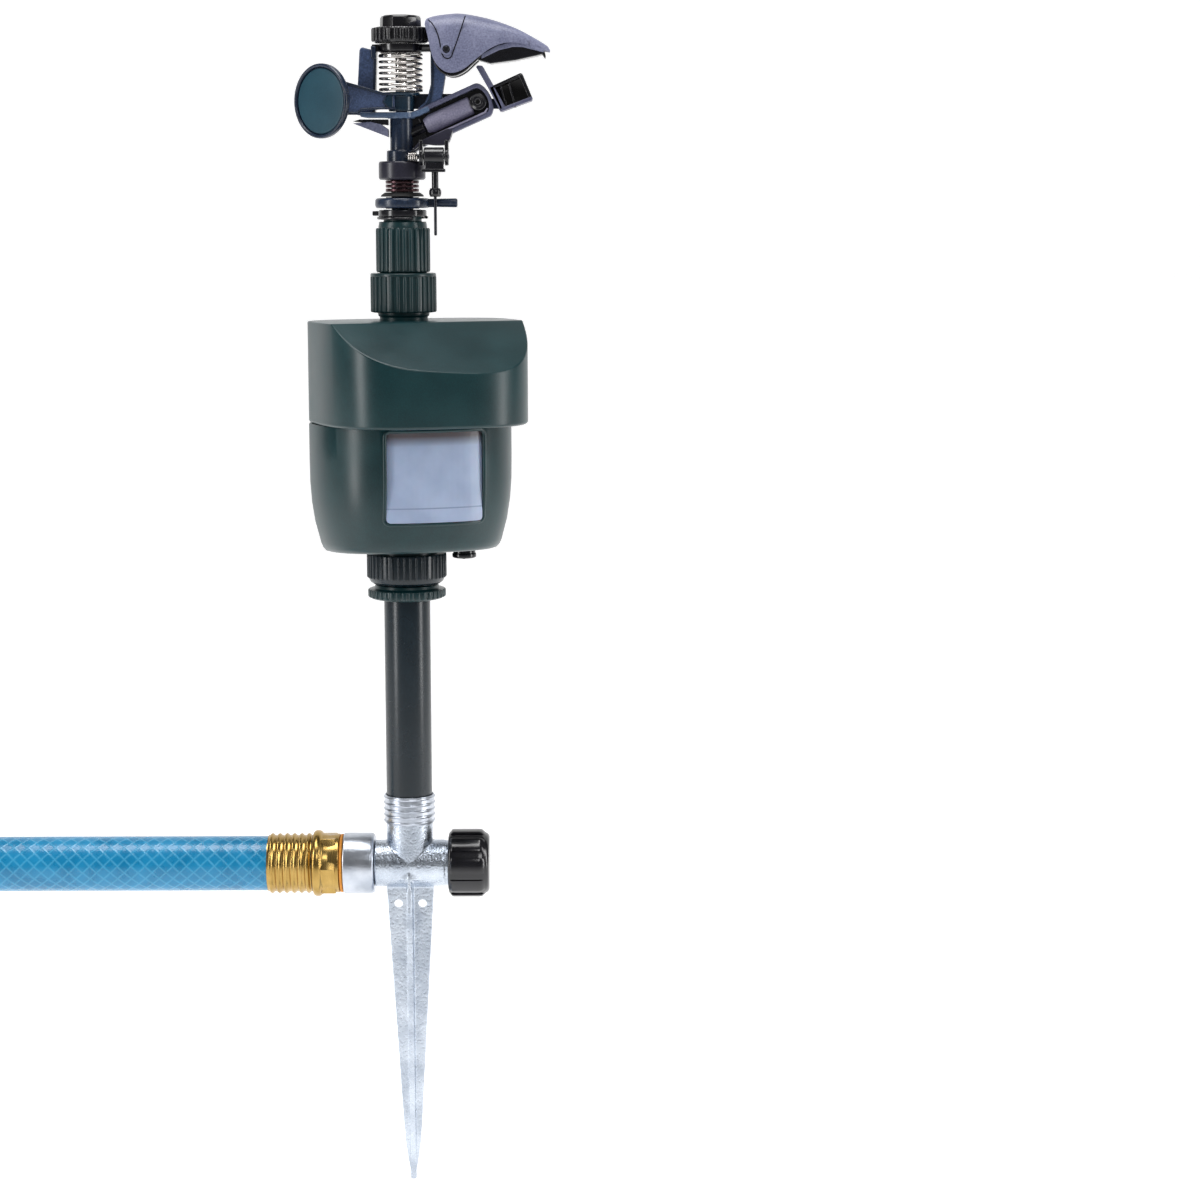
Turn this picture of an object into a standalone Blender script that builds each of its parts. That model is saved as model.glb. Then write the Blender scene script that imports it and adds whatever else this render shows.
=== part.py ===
"""Motion-activated impact sprinkler on a ground spike. Z is up, +X is the jet's side, -Y the front.
The origin is on the stem's axis at ground level. Sizes below are millimetres."""

import math

import bmesh
import bpy
from mathutils import Matrix, Vector

MM = 0.001
GAP = 0.3  # clearance between neighbouring pieces

RUN_Z = 13.3  # height of the tee's horizontal axis
PIPE_R = 12.2
RISER_R = 11.9
RISER_TOP = 174.0
HOSE_R = 14.25
HOSE_END = -239.0
SHELL_TURN = math.radians(19.5)  # the sensor looks this far toward the jet's side
SHELL_W, SHELL_FRONT, SHELL_BACK, SHELL_POWER = 51.2, 52.0, 28.0, 2.4
HOOD_W, HOOD_FRONT, HOOD_BACK, HOOD_POWER = 53.0, 67.0, 28.6, 3.2
REAR_POWER = 2.6  # the roundness of both outlines behind
SHELL_SHIFT, HOOD_SHIFT = 1.8, 3.6  # how far each outline sits toward +X of the stem
SHELL_BOTTOM, SHELL_TOP = 177.4, 244.7
SHELL_LIFT = 4.4  # the shell's lower edge rises this much from back to front
HOOD_TOP = 298.0
FACET_POINT, FACET_NORMAL = (0, -31.15, 298.0), (0.273, -0.565, 1.0)  # the hood's slanted front
WALL = 2.4
LENS_X, LENS_Z = (-23.4, 26.8), (197.2, 242.6)
LENS_INNER, LENS_OUTER = 3.4, 1.6  # how deep the two faces of the lens lie under the shell
NOZZLE_TILT = math.radians(24.0)
NOZZLE_Z0 = 388.8  # where the nozzle's axis crosses the stem's axis
LEVER_Y, LEVER_Z = -11.0, 378.8
PIN_X, PIN_Z = 23.7, 431.8  # the deflector's hinge
SCREW_ALONG = 42.6  # the screw's place along the nozzle
DISC_TURN = math.radians(49.5)
SHARP = math.radians(35.0)  # edges steeper than this stay crisp

bpy.context.scene.unit_settings.scale_length = 1.0
for old in list(bpy.data.objects):
    bpy.data.objects.remove(old, do_unlink=True)

MATERIALS = {}


def material(name, colour, metallic=0.0, rough=0.45):
    made = bpy.data.materials.new(name)
    made.use_nodes = True
    shader = made.node_tree.nodes["Principled BSDF"]
    shader.inputs["Base Color"].default_value = (*colour, 1.0)
    shader.inputs["Metallic"].default_value = metallic
    shader.inputs["Roughness"].default_value = rough
    MATERIALS[name] = made


material("green_plastic", (0.008, 0.042, 0.04), rough=0.35)
material("black_plastic", (0.006, 0.006, 0.008), rough=0.2)
material("slate_plastic", (0.045, 0.05, 0.08), rough=0.5)
material("blue_plastic", (0.02, 0.045, 0.1), rough=0.5)
material("teal_plastic", (0.012, 0.07, 0.09), rough=0.4)
material("zinc", (0.55, 0.56, 0.58), metallic=1.0, rough=0.45)
material("steel", (0.75, 0.74, 0.72), metallic=1.0, rough=0.2)
material("brass", (0.65, 0.42, 0.09), metallic=1.0, rough=0.25)
material("rubber", (0.02, 0.02, 0.02), rough=0.8)
material("orange_rubber", (0.75, 0.24, 0.02), rough=0.6)
material("blue_vinyl", (0.02, 0.36, 0.6), rough=0.15)
material("lens", (0.55, 0.62, 0.8), rough=0.3)
material("circuit_board", (0.01, 0.1, 0.03), rough=0.5)
material("battery", (0.1, 0.1, 0.11), metallic=0.6, rough=0.4)
material("copper", (0.6, 0.22, 0.08), metallic=1.0, rough=0.35)


def solid(name, points, faces, finish=None, pivot=(0, 0, 0)):
    """One closed body from points in mm. With no finish it's a helper that isn't shown."""
    mesh = bpy.data.meshes.new(name)
    centre = Vector(pivot)
    mesh.from_pydata([(Vector(p) - centre) * MM for p in points], [], faces)
    shape = bmesh.new()
    shape.from_mesh(mesh)
    bmesh.ops.recalc_face_normals(shape, faces=shape.faces)
    shape.to_mesh(mesh)
    shape.free()
    mesh.shade_smooth()
    mesh.set_sharp_from_angle(angle=SHARP)
    made = bpy.data.objects.new(name, mesh)
    made.location = centre * MM
    bpy.context.scene.collection.objects.link(made)
    if finish:
        mesh.materials.append(MATERIALS[finish])
    else:
        made.hide_render = True
        made.display_type = "WIRE"
    return made


def boolean(piece, other, operation):
    step = piece.modifiers.new(operation.lower(), "BOOLEAN")
    step.operation = operation
    step.solver = "EXACT"
    step.object = other
    return piece


def cut(piece, *others):
    for other in others:
        boolean(piece, other, "DIFFERENCE")
    return piece


def fuse(piece, *others):
    for other in others:
        boolean(piece, other, "UNION")
    return piece


def aim(direction, at=(0, 0, 0)):
    """The matrix that takes local Z to this direction."""
    turn = Vector(direction).normalized().to_track_quat("Z", "Y").to_matrix().to_4x4()
    return Matrix.Translation(Vector(at)) @ turn


def loft(name, rings, finish=None, pivot=(0, 0, 0), ring_closed=False):
    """Joins rings of equally many points; the two ends get caps, or meet each other."""
    count = len(rings[0])
    points = [p for ring in rings for p in ring]
    faces = []
    last = len(rings) if ring_closed else len(rings) - 1
    for i in range(last):
        low = i * count
        high = (i + 1) % len(rings) * count
        for j in range(count):
            k = (j + 1) % count
            faces.append((low + j, low + k, high + k, high + j))
    if not ring_closed:
        faces.append(tuple(range(count - 1, -1, -1)))
        faces.append(tuple(range(len(points) - count, len(points))))
    return solid(name, points, faces, finish, pivot)


def lathe(name, profile, finish=None, sides=24, frame=None, pivot=(0, 0, 0), start=0.0):
    """Turns (radius, height) points about the local Z of the frame. A profile that starts and
    ends at radius 0 makes a solid; any other closes on itself, as a ring does."""
    frame = frame or Matrix.Identity(4)
    points = []
    faces = []
    rows = []
    for radius, height in profile:
        if radius == 0:
            rows.append([len(points)])
            points.append(frame @ Vector((0, 0, height)))
            continue
        rows.append(list(range(len(points), len(points) + sides)))
        for j in range(sides):
            angle = start + 2 * math.pi * j / sides
            points.append(frame @ Vector((radius * math.cos(angle), radius * math.sin(angle), height)))
    pairs = list(zip(rows, rows[1:]))
    if profile[0][0] > 0:
        pairs.append((rows[-1], rows[0]))
    for low, high in pairs:
        for j in range(sides):
            k = (j + 1) % sides
            if len(low) == 1:
                faces.append((low[0], high[k], high[j]))
            elif len(high) == 1:
                faces.append((low[j], low[k], high[0]))
            else:
                faces.append((low[j], low[k], high[k], high[j]))
    return solid(name, points, faces, finish, pivot)


def rod(name, radius, low, high, finish=None, sides=24, frame=None, pivot=(0, 0, 0), start=0.0):
    profile = [(0, low), (radius, low), (radius, high), (0, high)]
    return lathe(name, profile, finish, sides, frame, pivot, start)


def tube(name, inner, outer, low, high, finish=None, sides=24, frame=None, pivot=(0, 0, 0)):
    profile = [(inner, low), (outer, low), (outer, high), (inner, high)]
    return lathe(name, profile, finish, sides, frame, pivot)


def plate(name, outline, near, far, finish=None, pivot=(0, 0, 0), frame=None):
    """Extrudes an (x, z) outline from y = near to y = far."""
    frame = frame or Matrix.Identity(4)
    rings = [[frame @ Vector((x, y, z)) for x, z in outline] for y in (near, far)]
    return loft(name, rings, finish, pivot)


def block(name, x, y, z, finish=None, pivot=(0, 0, 0), frame=None):
    outline = [(x[0], z[0]), (x[1], z[0]), (x[1], z[1]), (x[0], z[1])]
    return plate(name, outline, y[0], y[1], finish, pivot, frame)


def ring_points(path, radius, sides):
    """Rings of a round wire along a path of points in mm."""
    rings = []
    for i, point in enumerate(path):
        ahead = path[min(i + 1, len(path) - 1)] - path[max(i - 1, 0)]
        ahead.normalize()
        across = ahead.cross(Vector((0, 0, 1)))
        if across.length < 0.2:
            across = ahead.cross(Vector((0, 1, 0)))
        across.normalize()
        up = across.cross(ahead)
        ring = []
        for j in range(sides):
            angle = 2 * math.pi * j / sides
            ring.append(point + across * radius * math.cos(angle) + up * radius * math.sin(angle))
        rings.append(ring)
    return rings


def coil(name, radius, wire, low, high, turns, finish, frame=None, steps=12, sides=6):
    frame = frame or Matrix.Identity(4)
    path = []
    for i in range(turns * steps + 1):
        angle = 2 * math.pi * i / steps
        height = low + (high - low) * i / (turns * steps)
        path.append(Vector((radius * math.cos(angle), radius * math.sin(angle), height)))
    rings = ring_points(path, wire, sides)
    return loft(name, [[frame @ p for p in ring] for ring in rings], finish)


ALONG_X = aim((1, 0, 0), (0, 0, RUN_Z))


# ---- ground spike, tee and riser ----

BLADE = [(12.3, 0), (11.3, -17.7), (10.0, -39.3), (8.7, -61), (7.4, -82.6), (6.1, -104.4)]
BLADE += [(4.8, -126.3), (4.0, -137.3), (2.4, -148.2), (0.6, -158.0)]


def spike_tee():
    run = [(0, -25), (11.8, -25), (11.8, -22.5), (9.6, -22.5), (9.6, -18.1), (PIPE_R, -18.1)]
    run += [(PIPE_R, 18.1), (12.0, 18.1), (12.0, 24.5), (12.9, 24.5), (12.9, 35), (0, 35)]
    made = lathe("spike_tee", run, "zinc", frame=ALONG_X)
    socket = [(0, 6.3), (11.7, 6.3), (11.7, 35.3), (13.4, 35.3), (13.4, 50.2), (0, 50.2)]
    right = list(BLADE)
    left = [(-x, z) for x, z in reversed(BLADE)]
    flat = [(11.5, 4.5)] + right + left + [(-11.5, 4.5)]
    turned = Matrix.Rotation(math.pi / 2, 4, "Z")
    rising = [(x * 0.985, z * 0.998) for x, z in right + left]
    rising = [(9.0, 6.2)] + rising + [(-9.0, 6.2)]
    fuse(made, lathe("socket_body", socket, start=0.06), plate("blade_wide", flat, -1.7, 1.7))
    fuse(made, plate("blade_deep", rising, -1.6, 1.6, frame=turned))
    run_bore = rod("run_bore", 8.2, -30, 40, frame=ALONG_X)
    cut(made, fuse(run_bore, rod("riser_bore", 7.0, 9.0, 40, sides=20)))
    cut(made, rod("riser_seat", 12.2, 36.5, 60))
    for side in (-1, 1):
        drill = aim((0, 1, 0), (side * 6.3, 0, -8.4))
        cut(made, rod(f"blade_hole_{side}", 2.4, -5, 5, sides=12, frame=drill))


def riser_and_rings():
    tube("riser_tube", 10.3, RISER_R, 37, RISER_TOP, "green_plastic")
    tube("riser_seal", 10.3, 11.9, RISER_TOP + 0.4, 177.0, "rubber")
    tube("flange_ring", 12.25, 20.2, 152.9, 160.7, "green_plastic")
    nut = [(12.25, 161.2), (20.6, 161.2), (20.6, 176.8), (16.0, 176.8), (16.0, 163.6), (12.25, 163.6)]
    lathe("riser_nut", nut, "green_plastic", frame=aim((0, 0, 1)))


def inlet():
    nut = [(10.0, -18.4), (10.0, -21.8), (13.3, -21.8), (13.3, -34.5), (15.9, -34.5), (15.9, -18.4)]
    pivot = (-26, 0, RUN_Z)
    lathe("inlet_nut", nut, "zinc", frame=ALONG_X, pivot=pivot)
    tube("inlet_washer", 8.4, 12.8, -26.8, -25.3, "rubber", frame=ALONG_X)
    shank = [(0, -50.6), (15.0, -50.6), (15.5, -43), (15.5, -36.5), (12.9, -36.5), (12.9, -27.1), (0, -27.1)]
    fitting = lathe("hose_fitting", shank, "brass", frame=ALONG_X)
    fuse(fitting, rod("fitting_hex", 17.4, -50.6, -43.6, sides=6, frame=ALONG_X))
    cut(fitting, rod("fitting_bore", 6.5, -60, -20, frame=ALONG_X))
    tube("orange_washer", 13.2, 15.2, -36.2, -34.8, "orange_rubber", frame=ALONG_X)
    tube("hose_ferrule", HOSE_R + 0.45, 15.5, -73.9, -50.9, "brass", frame=ALONG_X)
    tube("far_ferrule", HOSE_R + 0.45, 15.5, HOSE_END - 0.5, -217, "brass", frame=ALONG_X)
    far = [(0, -262), (15.5, -262), (15.5, -249), (15.0, HOSE_END - 0.8), (0, HOSE_END - 0.8)]
    coupling = lathe("far_coupling", far, "brass", frame=ALONG_X)
    fuse(coupling, rod("far_hex", 17.4, -249, -242, sides=6, frame=ALONG_X))
    cut(coupling, rod("far_bore", 6.5, -270, -230, frame=ALONG_X))
    line = bpy.data.curves.new("hose", "CURVE")
    line.dimensions = "3D"
    line.bevel_depth = HOSE_R * MM
    line.bevel_resolution = 3
    line.use_fill_caps = True
    spline = line.splines.new("POLY")
    spline.points.add(8)
    for i, point in enumerate(spline.points):
        x = HOSE_END + (-51.2 - HOSE_END) * i / 8
        point.co = (x * MM, 0, RUN_Z * MM, 1)
    made = bpy.data.objects.new("hose", line)
    line.materials.append(MATERIALS["blue_vinyl"])
    bpy.context.scene.collection.objects.link(made)


def drain_cap():
    pivot = (31, 0, RUN_Z)
    cup = [(0, 38), (13.4, 38), (13.4, 20.3), (17.9, 20.3), (17.9, 39.5), (15.5, 41.7), (0, 41.7)]
    lathe("end_cap", cup, "black_plastic", frame=ALONG_X, pivot=pivot)
    rod("cap_washer", 12.9, 35.3, 37.7, "rubber", frame=ALONG_X)


# ---- sensor housing ----


def plan(width, front, back, power, shift, inset=0.0, count=32):
    """The housing's outline seen from above: a boxy front half and a flatter back half."""
    points = []
    for j in range(count):
        angle = 2 * math.pi * j / count
        c, s = math.cos(angle), math.sin(angle)
        depth = front if s < 0 else back
        p = power if s < 0 else REAR_POWER
        u = math.copysign(abs(c) ** (2 / p), c) * (width - inset)
        v = math.copysign(abs(s) ** (2 / p), s) * (depth - inset)
        x = u * math.cos(SHELL_TURN) - v * math.sin(SHELL_TURN) + shift
        y = u * math.sin(SHELL_TURN) + v * math.cos(SHELL_TURN)
        points.append((x, y))
    return points


def level(outline, z):
    return [Vector((x, y, z)) for x, y in outline]


def rising(outline, z):
    """The outline with its front lifted, as along the shell's lower edge."""
    points = []
    for x, y in outline:
        back = y * math.cos(SHELL_TURN) - (x - SHELL_SHIFT) * math.sin(SHELL_TURN)
        share = (SHELL_BACK - back) / (SHELL_BACK + SHELL_FRONT)
        points.append(Vector((x, y, z + SHELL_LIFT * share)))
    return points


def shell_plan(inset):
    return plan(SHELL_W, SHELL_FRONT, SHELL_BACK, SHELL_POWER, SHELL_SHIFT, inset)


def hood_plan(inset):
    return plan(HOOD_W, HOOD_FRONT, HOOD_BACK, HOOD_POWER, HOOD_SHIFT, inset)


def above_facet(name, depth):
    """A block that takes away all that lies over the hood's slanted front."""
    reach = (-110, 110)
    return block(name, reach, reach, (-depth, 80), frame=aim(FACET_NORMAL, FACET_POINT))


FACING = Matrix.Rotation(SHELL_TURN, 4, "Z")
DIAL_X, DIAL_Y = 30, -4


def shell():
    rings = [rising(shell_plan(8 + WALL), 180.0), rising(shell_plan(WALL), 200.0)]
    rings += [level(shell_plan(WALL), SHELL_TOP), level(shell_plan(0), SHELL_TOP)]
    rings += [level(shell_plan(0), 212.0), rising(shell_plan(1.5), 198.6)]
    rings += [rising(shell_plan(4.5), 186.0), rising(shell_plan(8.5), SHELL_BOTTOM)]
    body = loft("housing_shell", rings, "green_plastic")
    cut(body, rod("inlet_hole", 16.0, 170, 190))
    cut(body, block("lens_hole", LENS_X, (-70, -30), LENS_Z, frame=FACING))
    cut(body, block("door_hole", (-30.3, 30.3), (15, 40), (195, 238), frame=FACING))
    at = Matrix.Translation((DIAL_X, DIAL_Y, 0))
    cut(body, rod("dial_hole", 7.0, 170, 192, sides=16, frame=at))


def hood():
    low = SHELL_TOP + GAP
    body = loft("housing_hood", [level(hood_plan(0), low), level(hood_plan(0), HOOD_TOP)], "green_plastic")
    cut(body, above_facet("facet", 0))
    rings = [level(hood_plan(WALL), low + WALL), level(hood_plan(WALL), HOOD_TOP - WALL)]
    cut(body, cut(loft("hood_room", rings), above_facet("facet_under", WALL)))
    opening = shell_plan(WALL + 2)
    cut(body, loft("hood_opening", [level(opening, low - 5), level(opening, low + 5)]))
    cut(body, rod("neck_hole", 12.6, 270, 310))


def window():
    bent = [level(shell_plan(LENS_INNER), z) for z in (180, 260)]
    bent += [level(shell_plan(LENS_OUTER), z) for z in (260, 180)]
    lens = loft("sensor_lens", bent, "lens", ring_closed=True)
    width = (LENS_X[0] + 0.4, LENS_X[1] - 0.4)
    height = (LENS_Z[0] + 0.4, LENS_Z[1] - 0.4)
    boolean(lens, block("lens_keep", width, (-70, -30), height, frame=FACING), "INTERSECT")
    block("sensor_board", (-20, 20), (-38, -36.4), (200, 240), "circuit_board", frame=FACING)
    can = aim((math.sin(SHELL_TURN), -math.cos(SHELL_TURN), 0), FACING @ Vector((0, -38.3, 220)))
    rod("pir_sensor", 4.6, 0, 4, "steel", 16, frame=can)
    door = block("battery_door", (-30, 30), (25.6, 29.4), (195.3, 237.7), "green_plastic", frame=FACING)
    fuse(door, block("door_catch", (-6, 6), (29.0, 31.0), (232, 236), frame=FACING))


def inner_works():
    spigot = [(8, 312), (8, 186), (12.25, 186), (12.25, 164), (15.6, 164), (15.6, 190), (10.5, 190)]
    spigot += [(10.5, 288), (12.2, 288), (12.2, 300), (13.2, 300), (13.2, 312)]
    valve = lathe("valve_body", spigot, "black_plastic")
    side = FACING @ Vector((-1, 0, 0))
    arm = aim(side, (0, 0, 262))
    fuse(valve, rod("valve_branch", 9.0, 9.5, 19, sides=16, frame=arm))
    cut(valve, rod("plunger_bore", 3.4, 9, 30, sides=12, frame=arm))
    tube("solenoid_coil", 4.6, 10.0, 19.4, 40.0, "copper", 16, arm)
    rod("solenoid_plunger", 2.9, 13.0, 37.0, "steel", 12, arm, pivot=arm @ Vector((0, 0, 25)))
    tube("outlet_washer", 8.4, 12.8, 312.3, 313.3, "rubber")
    block("battery_tray", (-29, 29), (13.2, 15.0), (196.5, 237), "black_plastic", frame=FACING)
    for row in range(2):
        for column in range(2):
            name = f"battery_{2 * row + column + 1}"
            place = FACING @ Vector((-26 + 26.6 * column, 20.3, 206.5 + 17 * row))
            along = aim(FACING @ Vector((1, 0, 0)), place)
            rod(name, 4.9, 0, 25.2, "battery", 12, along)
    dial = [(0, 174.6), (6.2, 174.6), (6.2, 176.9), (5.8, 176.9), (5.8, 184), (0, 184)]
    at = Matrix.Translation((DIAL_X, DIAL_Y, 0))
    lathe("range_dial", dial, "black_plastic", 16, at, pivot=(DIAL_X, DIAL_Y, 176))


# ---- swivel, adaptor, trip rings ----


def neck():
    nut = [(13.6, 300.2), (16.9, 300.2), (16.9, 320.4), (12.3, 320.4), (12.3, 315.2), (13.6, 315.2)]
    lathe("swivel_nut", nut, "green_plastic")
    body = [(6.0, 313.6), (13.2, 313.6), (13.2, 314.8), (11.9, 314.8), (11.9, 320.8), (13.9, 320.8)]
    body += [(13.9, 343.3), (12.2, 343.3), (12.2, 346.3), (9.7, 346.3), (9.7, 352.4), (6.0, 352.4)]
    lathe("adaptor", body, "green_plastic")
    low = tube("lower_trip_ring", 10.0, 12.2, 348.8, 352.2, "black_plastic")
    reach = Matrix.Rotation(math.radians(130), 4, "Z")
    fuse(low, block("lower_finger", (11.5, 25), (-1.2, 1.2), (349.2, 351.8), frame=reach))
    tube("bearing_sleeve", 6.0, 8.6, 352.8, 358.6, "black_plastic")
    high = tube("upper_trip_ring", 8.9, 13.9, 353.1, 358.2, "green_plastic")
    tab = block("upper_tab", (12, 17.2), (-3.4, 3.4), (353.4, 357.9))
    finger = rod("upper_finger", 2.3, 14, 28, sides=12, frame=aim((1, 0, 0), (0, 0, 355.7)))
    fuse(high, tab, finger)
    lathe("cone_washer", [(6.0, 358.9), (11.0, 358.9), (9.0, 361.0), (6.0, 361.0)], "rubber")
    for i in range(3):
        low_z = 361.3 + 2.05 * i
        tube(f"thrust_washer_{i + 1}", 6.0, 8.5, low_z, low_z + 1.7, "copper")


# ---- rotating head ----

NOZZLE = aim((math.cos(NOZZLE_TILT), 0, math.sin(NOZZLE_TILT)), (0, 0, NOZZLE_Z0))


def racetrack(start, end, half, arc=8):
    """A long loop about the nozzle's axis, in (x, z)."""
    points = []
    for i in range(arc + 1):
        angle = -math.pi / 2 + math.pi * i / arc
        points.append((end + half * 0.55 * math.cos(angle), half * math.sin(angle)))
    points += [(start, half), (start, -half)]
    c, s = math.cos(NOZZLE_TILT), math.sin(NOZZLE_TILT)
    return [(a * c - b * s, NOZZLE_Z0 + a * s + b * c) for a, b in points]


def head_body():
    stem = [(0, 331), (5.6, 331), (5.6, 367.5), (11.7, 367.5), (11.7, 376.4), (7.7, 376.4), (7.7, 382)]
    stem += [(5.8, 382), (5.8, 400), (0, 400)]
    body = lathe("head_body", stem, "blue_plastic")
    deck = [(-20, 398.8), (7, 398.6), (14, 401.5), (14, 404.2), (7, 401.2), (-20, 401.0)]
    fuse(body, plate("platform", deck, -4.2, 4.8))
    fuse(body, rod("hub_seat", 7.0, 398.2, 401.1, sides=24, start=0.07))
    fuse(body, plate("loop", racetrack(7.0, 44.6, 9.0), -5, 5))
    rear = [(-22.3, 399.3), (-14.1, 399.3), (-13.0, 431.6), (-20.0, 431.6), (-20.5, 424)]
    fuse(body, plate("rear_upright", rear, -4, 4))
    front = [(15.4, 404.0), (22.4, 407.2), (22.4, 431.4), (15.4, 431.4)]
    fuse(body, plate("front_upright", front, -4, 4))
    gusset = [(8, 400.4), (18, 404.0), (18, 411), (15.0, 411.5), (13, 405.6), (9.5, 402.8)]
    fuse(body, plate("gusset", gusset, -3.6, 3.6))
    bar = [(-20, 431), (15.4, 431), (15.4, 427.6), (27.5, 427.6), (27.5, 435.0), (-20, 435.0)]
    fuse(body, plate("top_bar", bar, -4.1, 4.1))
    fuse(body, rod("top_disc", 10.5, 431.1, 434.9, sides=24))
    fuse(body, block("spring_lug", (-14.6, -12.0), (-7, -3.0), (427.5, 434)))
    fuse(body, block("trip_bracket", (9.5, 23.5), (-12.6, -2), (385.0, 388.6)))
    for i, x in enumerate((9.6, 22.4)):
        fuse(body, block(f"bracket_ear_{i}", (x, x + 1.8), (-13.5, -8.5), (376.5, 387)))
    cut(body, plate("loop_hollow", racetrack(12.5, 43.8, 6.6), -9, 9))
    cut(body, rod("arm_room", 7.2, 401.25, 410.9, sides=16))
    cut(body, rod("pin_bore", 3.3, 400.6, 440, sides=16))
    cut(body, rod("water_bore", 3.5, 320, 392, sides=16, start=0.1))
    cut(body, rod("nozzle_bore", 2.6, 0, 20, sides=12, frame=NOZZLE))
    hinge = aim((0, 1, 0), (PIN_X, 0, PIN_Z))
    cut(body, rod("hinge_bore", 1.9, -20, 20, sides=12, frame=hinge))
    axle = aim((1, 0, 0), (0, LEVER_Y, LEVER_Z))
    cut(body, rod("axle_bore", 1.5, 5, 30, sides=12, frame=axle))


def nozzle():
    sleeve = [(2.5, 13.4), (4.7, 13.4), (4.7, 38.8), (2.5, 38.8)]
    lathe("nozzle_sleeve", sleeve, "slate_plastic", 20, NOZZLE)
    face = NOZZLE @ Vector((0, 0, SCREW_ALONG))
    screw = aim((0, -1, 0), (face.x, 0, face.z))
    knob = [(0, -3.6), (2.9, -3.6), (2.9, 4.5), (3.2, 4.5), (3.2, 5.8), (0, 5.8)]
    lathe("diffuser_screw", knob, "black_plastic", 16, screw, pivot=(face.x, 0, face.z))
    spout = [(-24.5, 395.6), (-15, 397.4), (-6.4, 397.4), (-6.4, 388.6)]
    plate("rear_spreader", spout, -3.5, 3.5, "black_plastic")
    rod("fulcrum_pin", 3.0, 401.0, 434.8, "steel", 16)


def arm():
    """The impact arm with its spoon: one moulding that swings about the pin."""
    made = tube("impact_arm", 3.4, 6.4, 401.5, 410.7, "blue_plastic", 20)
    web = [(-1, 402.4), (-9.5, 402.4), (-20, 401.6), (-22, 399.8), (-30.0, 399.8)]
    web += [(-30.0, 416.4), (-9, 410.6), (-1, 410.6)]
    swing = Matrix.Translation((0, -4.9, 0)) @ Matrix.Rotation(math.radians(14), 4, "Z")
    fuse(made, plate("arm_web", web, -1.2, 1.2, frame=swing))
    bar = [(-3, 403), (52, 403), (49, 408), (30, 409), (29, 410.6), (-3, 410.6)]
    fuse(made, plate("arm_bar", bar, 5.5, 8.2))
    fuse(made, block("arm_boss", (-4, 4), (4.6, 8.2), (402.7, 410.6)))
    member = [(50.1, 401.6), (53.0, 402.8), (41.2, 424.2), (38.9, 424.2), (44.3, 414.2)]
    fuse(made, plate("spoon_front", member, -7, 8.2))
    box = [(45, 413.0), (60.8, 420), (66.0, 407.5), (50.5, 401.7)]
    fuse(made, plate("spoon_box", box, -7, 8.2))
    hollow = [(47.6, 412.6), (60.0, 418.0), (64.0, 408.3), (51.6, 403.6)]
    cut(made, plate("spoon_hollow", hollow, -9, 6.2))
    window_cut = [(36, 415.0), (46.0, 415.0), (52.0, 403.8), (46, 401)]
    cut(made, plate("spoon_window", window_cut, -4.2, 4.2))
    cut(made, rod("arm_bore", 3.4, 395, 420, sides=16))
    return made


def counterweight():
    centre = Vector((-38.7, -13.6, 406.4))
    out = Vector((-math.cos(DISC_TURN), -math.sin(DISC_TURN), 0))
    frame = aim(out, centre)
    dish = [(0, -4.0), (14, -4.0), (18.6, -1.0), (18.6, 2.2), (16.6, 2.2), (16.6, 0.2), (0, 0.2)]
    lathe("counterweight", dish, "black_plastic", 28, frame)
    rod("counterweight_face", 16.2, 0.5, 1.5, "teal_plastic", 28, frame)


def springs_and_cap():
    coil("arm_spring", 10.4, 0.75, 412.0, 429.6, 6, "steel")
    cap = rod("tension_cap", 14.8, 435.4, 443.4, "black_plastic", 24)
    fuse(cap, rod("cap_hex", 10.3, 440, 449.3, sides=8))
    axle = aim((1, 0, 0), (0, LEVER_Y, LEVER_Z))
    coil("trip_spring", 1.95, 0.4, 3.6, 8.6, 4, "steel", axle, 10, 5)


BEAK_TOP = [(12.0, 445.8), (13.6, 447.9), (22.3, 449.4), (31.0, 449.8), (41.9, 447.9), (50.6, 445.6)]
BEAK_TOP += [(59.3, 442.2), (68.0, 437.6), (74.1, 434.2), (75.2, 432.2), (72.8, 430.4)]
BEAK_LOW = [(68.0, 432.9), (61.5, 434.9), (54.9, 435.2), (48.3, 433.7), (41.8, 429.9), (37.6, 426.7)]
BEAK_LOW += [(33.2, 423.0), (28.9, 420.9), (24.5, 420.4), (20.1, 421.5), (15.8, 423.2), (14.8, 426.6)]


def deflector():
    pivot = (PIN_X, 0, PIN_Z)
    beak = plate("deflector", BEAK_TOP + BEAK_LOW, -13.5, 13.5, "slate_plastic", pivot=pivot)
    inner = [(10, 444.8), (15, 446.8), (30, 447.6), (41.5, 445.8), (50, 443.4), (62, 438.4), (66, 434.6)]
    inner += [(60, 433), (40, 418), (10, 416)]
    cut(beak, plate("deflector_hollow", inner, -11.2, 11.2))
    for side in (-1, 1):
        lean = Matrix.Rotation(-side * math.radians(9), 4, "Z")
        taper = Matrix.Translation((44, side * 13.8, 0)) @ lean
        side_y = sorted((0, side * 14))
        cut(beak, block(f"taper_{side}", (0, 50), side_y, (410, 460), frame=taper))
    across = aim((0, 1, 0), (PIN_X, 0, PIN_Z))
    cut(beak, rod("hinge_hole", 1.9, -20, 20, sides=12, frame=across))
    lip = [(45.5, 424.6), (69.0, 428.9), (71.5, 430.0), (66.5, 431.6), (60, 433.8), (50, 431.2)]
    plate("deflector_lip", lip, -7.6, 7.6, "black_plastic", pivot=pivot)
    rod("deflector_pin", 1.6, -14.0, 14.0, "steel", 12, across)


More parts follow.
